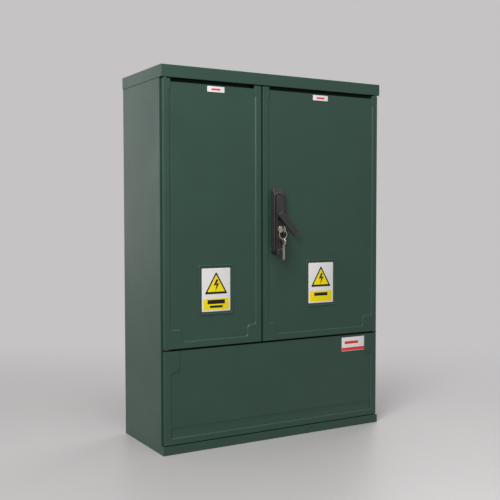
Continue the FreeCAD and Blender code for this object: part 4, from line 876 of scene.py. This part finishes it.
class CABINET_OT_lock_and_keys(bpy.types.Operator):
    """Adds the cylinder, its plug with the key in it, the split ring and the two spare keys"""
    bl_idname = "cabinet.lock_and_keys"
    bl_label = "Lock and keys"

    def execute(self, context):
        softened("lock_cylinder", 0.5 * MM)
        softened("lock_plug", 0.3 * MM)
        low, high = span("key")
        bow, thick, hole = (high.z - low.z) / 2, high.x - low.x, 2.5 * MM
        bow_y = low.y + bow
        inward = Matrix.Translation(((low.x + high.x) / 2, bow_y, (low.z + high.z) / 2)) @ UPRIGHT @ SIDEWAYS
        part = bmesh.new()
        shape = [key_outline(bow, high.y - bow_y, (0.75, 0.45, 0.8, 0.55)), circle(hole)]
        add_plate(part, shape, -thick / 2, thick / 2, KEY_RIM, matrix=inward)
        piece(part, "door_key", ["nickel"], "key")
        ring_low, ring_high = span("key_ring")
        across = (ring_low.x + ring_high.x) / 2
        self.ring(ring_low, ring_high, across, bow_y)
        self.spares(across, bow_y, bow, hole, thick)
        return {"FINISHED"}

    def ring(self, low, high, across, depth):
        """A split ring: two turns of flattened wire side by side, joined by a short ramp."""
        wire = (high.y - low.y) / 2
        radius = (high.z - low.z) / 2 - wire
        pitch, flattening, wound, steps = wire * 0.92, 1.7, 700, 112     # wound in degrees
        part = bmesh.new()
        bmesh.ops.create_circle(part, cap_ends=False, radius=wire * 0.52, segments=12)
        bmesh.ops.scale(part, vec=(flattening, 1.0, 1.0), verts=part.verts)
        bmesh.ops.rotate(part, cent=(0, 0, 0), matrix=UPRIGHT.to_3x3(), verts=part.verts)
        bmesh.ops.translate(part, vec=(radius, -pitch / 2, 0), verts=part.verts)
        bmesh.ops.spin(part, geom=part.edges[:] + part.verts[:], cent=(0, 0, 0), axis=(0, 1, 0),
                       dvec=(0, pitch / steps, 0), angle=math.radians(wound), steps=steps,
                       use_duplicate=False)
        bmesh.ops.holes_fill(part, edges=[edge for edge in part.edges if len(edge.link_faces) == 1], sides=12)
        bmesh.ops.recalc_face_normals(part, faces=part.faces)
        bmesh.ops.translate(part, vec=(across, depth, (low.z + high.z) / 2), verts=part.verts)
        piece(part, "split_ring", ["nickel"], "key_ring")

    def spares(self, across, depth, bow, hole, thick):
        """Two spare keys hanging straight down, one on each side of the ring's middle."""
        part = bmesh.new()
        low, high = span("spare_keys")
        bow_z = high.z - bow
        aside = (high.x - low.x) / 2 - thick / 2
        for side, teeth in ((-1, (0.5, 0.8, 0.4, 0.7, 0.9)), (1, (0.8, 0.4, 0.7, 0.5, 0.8))):
            place = Matrix.Translation((across + aside * side, depth, bow_z)) @ SIDEWAYS
            shape = [key_outline(bow, bow_z - low.z, teeth), circle(hole, (0, bow - hole * 1.6))]
            add_plate(part, shape, -thick / 2, thick / 2, KEY_RIM, matrix=place)
        piece(part, "hanging_keys", ["nickel"], "spare_keys")


class CABINET_OT_lock_rods(bpy.types.Operator):
    """Adds the lock rods, flush bolts and their guides"""
    bl_idname = "cabinet.lock_rods"
    bl_label = "Lock rods and bolts"

    def execute(self, context):
        for node in ("upper_lock_rod", "lower_lock_rod", "upper_flush_bolt", "lower_flush_bolt",
                     "rod_guides", "bolt_guides"):
            softened(node, 0.5 * MM)
        return {"FINISHED"}


# ---------------------------------------------------------------- frame and inside

class CABINET_OT_frame_parts(bpy.types.Operator):
    """Adds the rails, hinge pins, seals, screws, boards, floor and grommets"""
    bl_idname = "cabinet.frame_parts"
    bl_label = "Frame parts"

    def execute(self, context):
        # the rails behind the gaps above and below the doors get the darkened green, painted shade that keeps
        # those gaps dark
        for node in ("top_rail", "door_sill"):
            softened(node, 0.6 * MM, look="shaded_green")
        for node in ("partition", "compartment_floor", "left_mounting_board", "meter_board"):
            softened(node, 0.6 * MM)
        # the zinc lower hinge tabs get the darkened green too, painted shade so that they read dark in the
        # gap
        softened("lower_hinge_tabs", 0.4 * MM, look="shaded_green")
        for node in ("assembly_screws", "left_hinge_pins", "right_hinge_pins", "panel_clips",
                     "cable_grommets", "left_seal", "right_seal"):
            softened(node, 0.4 * MM)
        return {"FINISHED"}


class CABINET_OT_fuse_switch(bpy.types.Operator):
    """Adds the fuse switch with its lid and links, and the neutral bar on its insulators"""
    bl_idname = "cabinet.fuse_switch"
    bl_label = "Fuse switch"

    def execute(self, context):
        for node in ("fuse_switch_base", "fuse_switch_lid", "fuse_links", "bar_insulators", "neutral_bar"):
            softened(node, 0.7 * MM, 3)
        softened("fuse_contacts", 0.3 * MM)
        return {"FINISHED"}


class CABINET_OT_meter(bpy.types.Operator):
    """Adds the meter with its window, display and terminal cover"""
    bl_idname = "cabinet.meter"
    bl_label = "Meter"

    def execute(self, context):
        for node, width in (("meter_case", 1.8), ("meter_terminal_cover", 1.2), ("meter_window", 0.4),
                            ("meter_display", 0.4)):
            softened(node, width * MM, 3)
        return {"FINISHED"}


class CABINET_OT_isolator(bpy.types.Operator):
    """Adds the isolator with its toggle, on its rail"""
    bl_idname = "cabinet.isolator"
    bl_label = "Isolator"

    def execute(self, context):
        for node in ("isolator_body", "isolator_toggle"):
            softened(node, 0.7 * MM, 3)
        softened("din_rail", 0.3 * MM)
        return {"FINISHED"}


class CABINET_OT_cable_space(bpy.types.Operator):
    """Adds the cable rail with its clamps, and the earth bar"""
    bl_idname = "cabinet.cable_space"
    bl_label = "Cable space"

    def execute(self, context):
        for node in ("cable_rail", "cable_clamps", "earth_bar"):
            softened(node, 0.6 * MM)
        return {"FINISHED"}


# ---------------------------------------------------------------- studio

def area_light(name, place, target, size, power):
    """A rectangular light that shines from its place towards the target."""
    data = bpy.data.lights.new(name, "AREA")
    data.shape = "RECTANGLE"
    data.size, data.size_y = size
    data.energy = power
    light = bpy.data.objects.new(name, data)
    bpy.context.scene.collection.objects.link(light)
    light.location = place
    light.rotation_euler = (Vector(target) - Vector(place)).to_track_quat("-Z", "Y").to_euler()


class CABINET_OT_studio(bpy.types.Operator):
    """Sets up the floor, the soft lights and the camera"""
    bl_idname = "cabinet.studio"
    bl_label = "Studio"

    def execute(self, context):
        scene = context.scene
        scene.view_settings.view_transform = "Standard"
        scene.view_settings.look = "None"
        world = bpy.data.worlds.new("studio")
        world.use_nodes = True
        background = world.node_tree.nodes["Background"]
        background.inputs["Color"].default_value = tuple(colours().backdrop) + (1.0,)
        background.inputs["Strength"].default_value = 1.0
        scene.world = world
        part = bmesh.new()
        bmesh.ops.create_circle(part, cap_ends=True, radius=FLOOR_RADIUS, segments=FLOOR_SIDES)
        mesh = bpy.data.meshes.new("studio_floor")
        part.to_mesh(mesh)
        part.free()
        mesh.materials.append(studio_floor())
        floor = bpy.data.objects.new("studio_floor", mesh)
        scene.collection.objects.link(floor)
        for light in LIGHTS:
            area_light(*light)
        data = bpy.data.cameras.new("camera")
        data.sensor_width, data.lens = CAMERA_SENSOR, CAMERA_LENS
        camera = bpy.data.objects.new("camera", data)
        scene.collection.objects.link(camera)
        camera.location = CAMERA_PLACE
        camera.rotation_euler = [math.radians(angle) for angle in CAMERA_TURN]
        scene.camera = camera
        return {"FINISHED"}


# ---------------------------------------------------------------- panel, registration and run

OPERATORS = (
    CABINET_OT_studio, CABINET_OT_roof, CABINET_OT_walls, CABINET_OT_doors, CABINET_OT_lower_panel,
    CABINET_OT_warning_plates, CABINET_OT_stickers, CABINET_OT_handle, CABINET_OT_lever,
    CABINET_OT_lock_and_keys, CABINET_OT_lock_rods, CABINET_OT_frame_parts, CABINET_OT_fuse_switch,
    CABINET_OT_meter, CABINET_OT_isolator, CABINET_OT_cable_space,
)


class CABINET_PT_pieces(bpy.types.Panel):
    """Lists the cabinet's sizes, colours and pieces"""
    bl_idname = "CABINET_PT_pieces"
    bl_label = "Cabinet"
    bl_space_type = "VIEW_3D"
    bl_region_type = "UI"
    bl_category = "Cabinet"

    def draw(self, context):
        for group in (context.scene.cabinet_sizes, context.scene.cabinet_colours):
            for name in group.bl_rna.properties.keys():
                if name not in ("rna_type", "name"):
                    self.layout.prop(group, name)
        for operator in OPERATORS:
            self.layout.operator(operator.bl_idname)


CLASSES = (CabinetSizes, CabinetColours) + OPERATORS + (CABINET_PT_pieces,)


def register():
    for kind in CLASSES:
        bpy.utils.register_class(kind)
    bpy.types.Scene.cabinet_sizes = bpy.props.PointerProperty(type=CabinetSizes)
    bpy.types.Scene.cabinet_colours = bpy.props.PointerProperty(type=CabinetColours)


def unregister():
    del bpy.types.Scene.cabinet_colours
    del bpy.types.Scene.cabinet_sizes
    for kind in reversed(CLASSES):
        bpy.utils.unregister_class(kind)


def main():
    register()
    for operator in OPERATORS:
        group, name = operator.bl_idname.split(".")
        getattr(getattr(bpy.ops, group), name)()
    for node, cad in frame["nodes"].items():
        cad.data.materials.clear()
        cad.data.materials.append(finish(NODE_SLOT[node]))


if __name__ == "__main__":
    main()
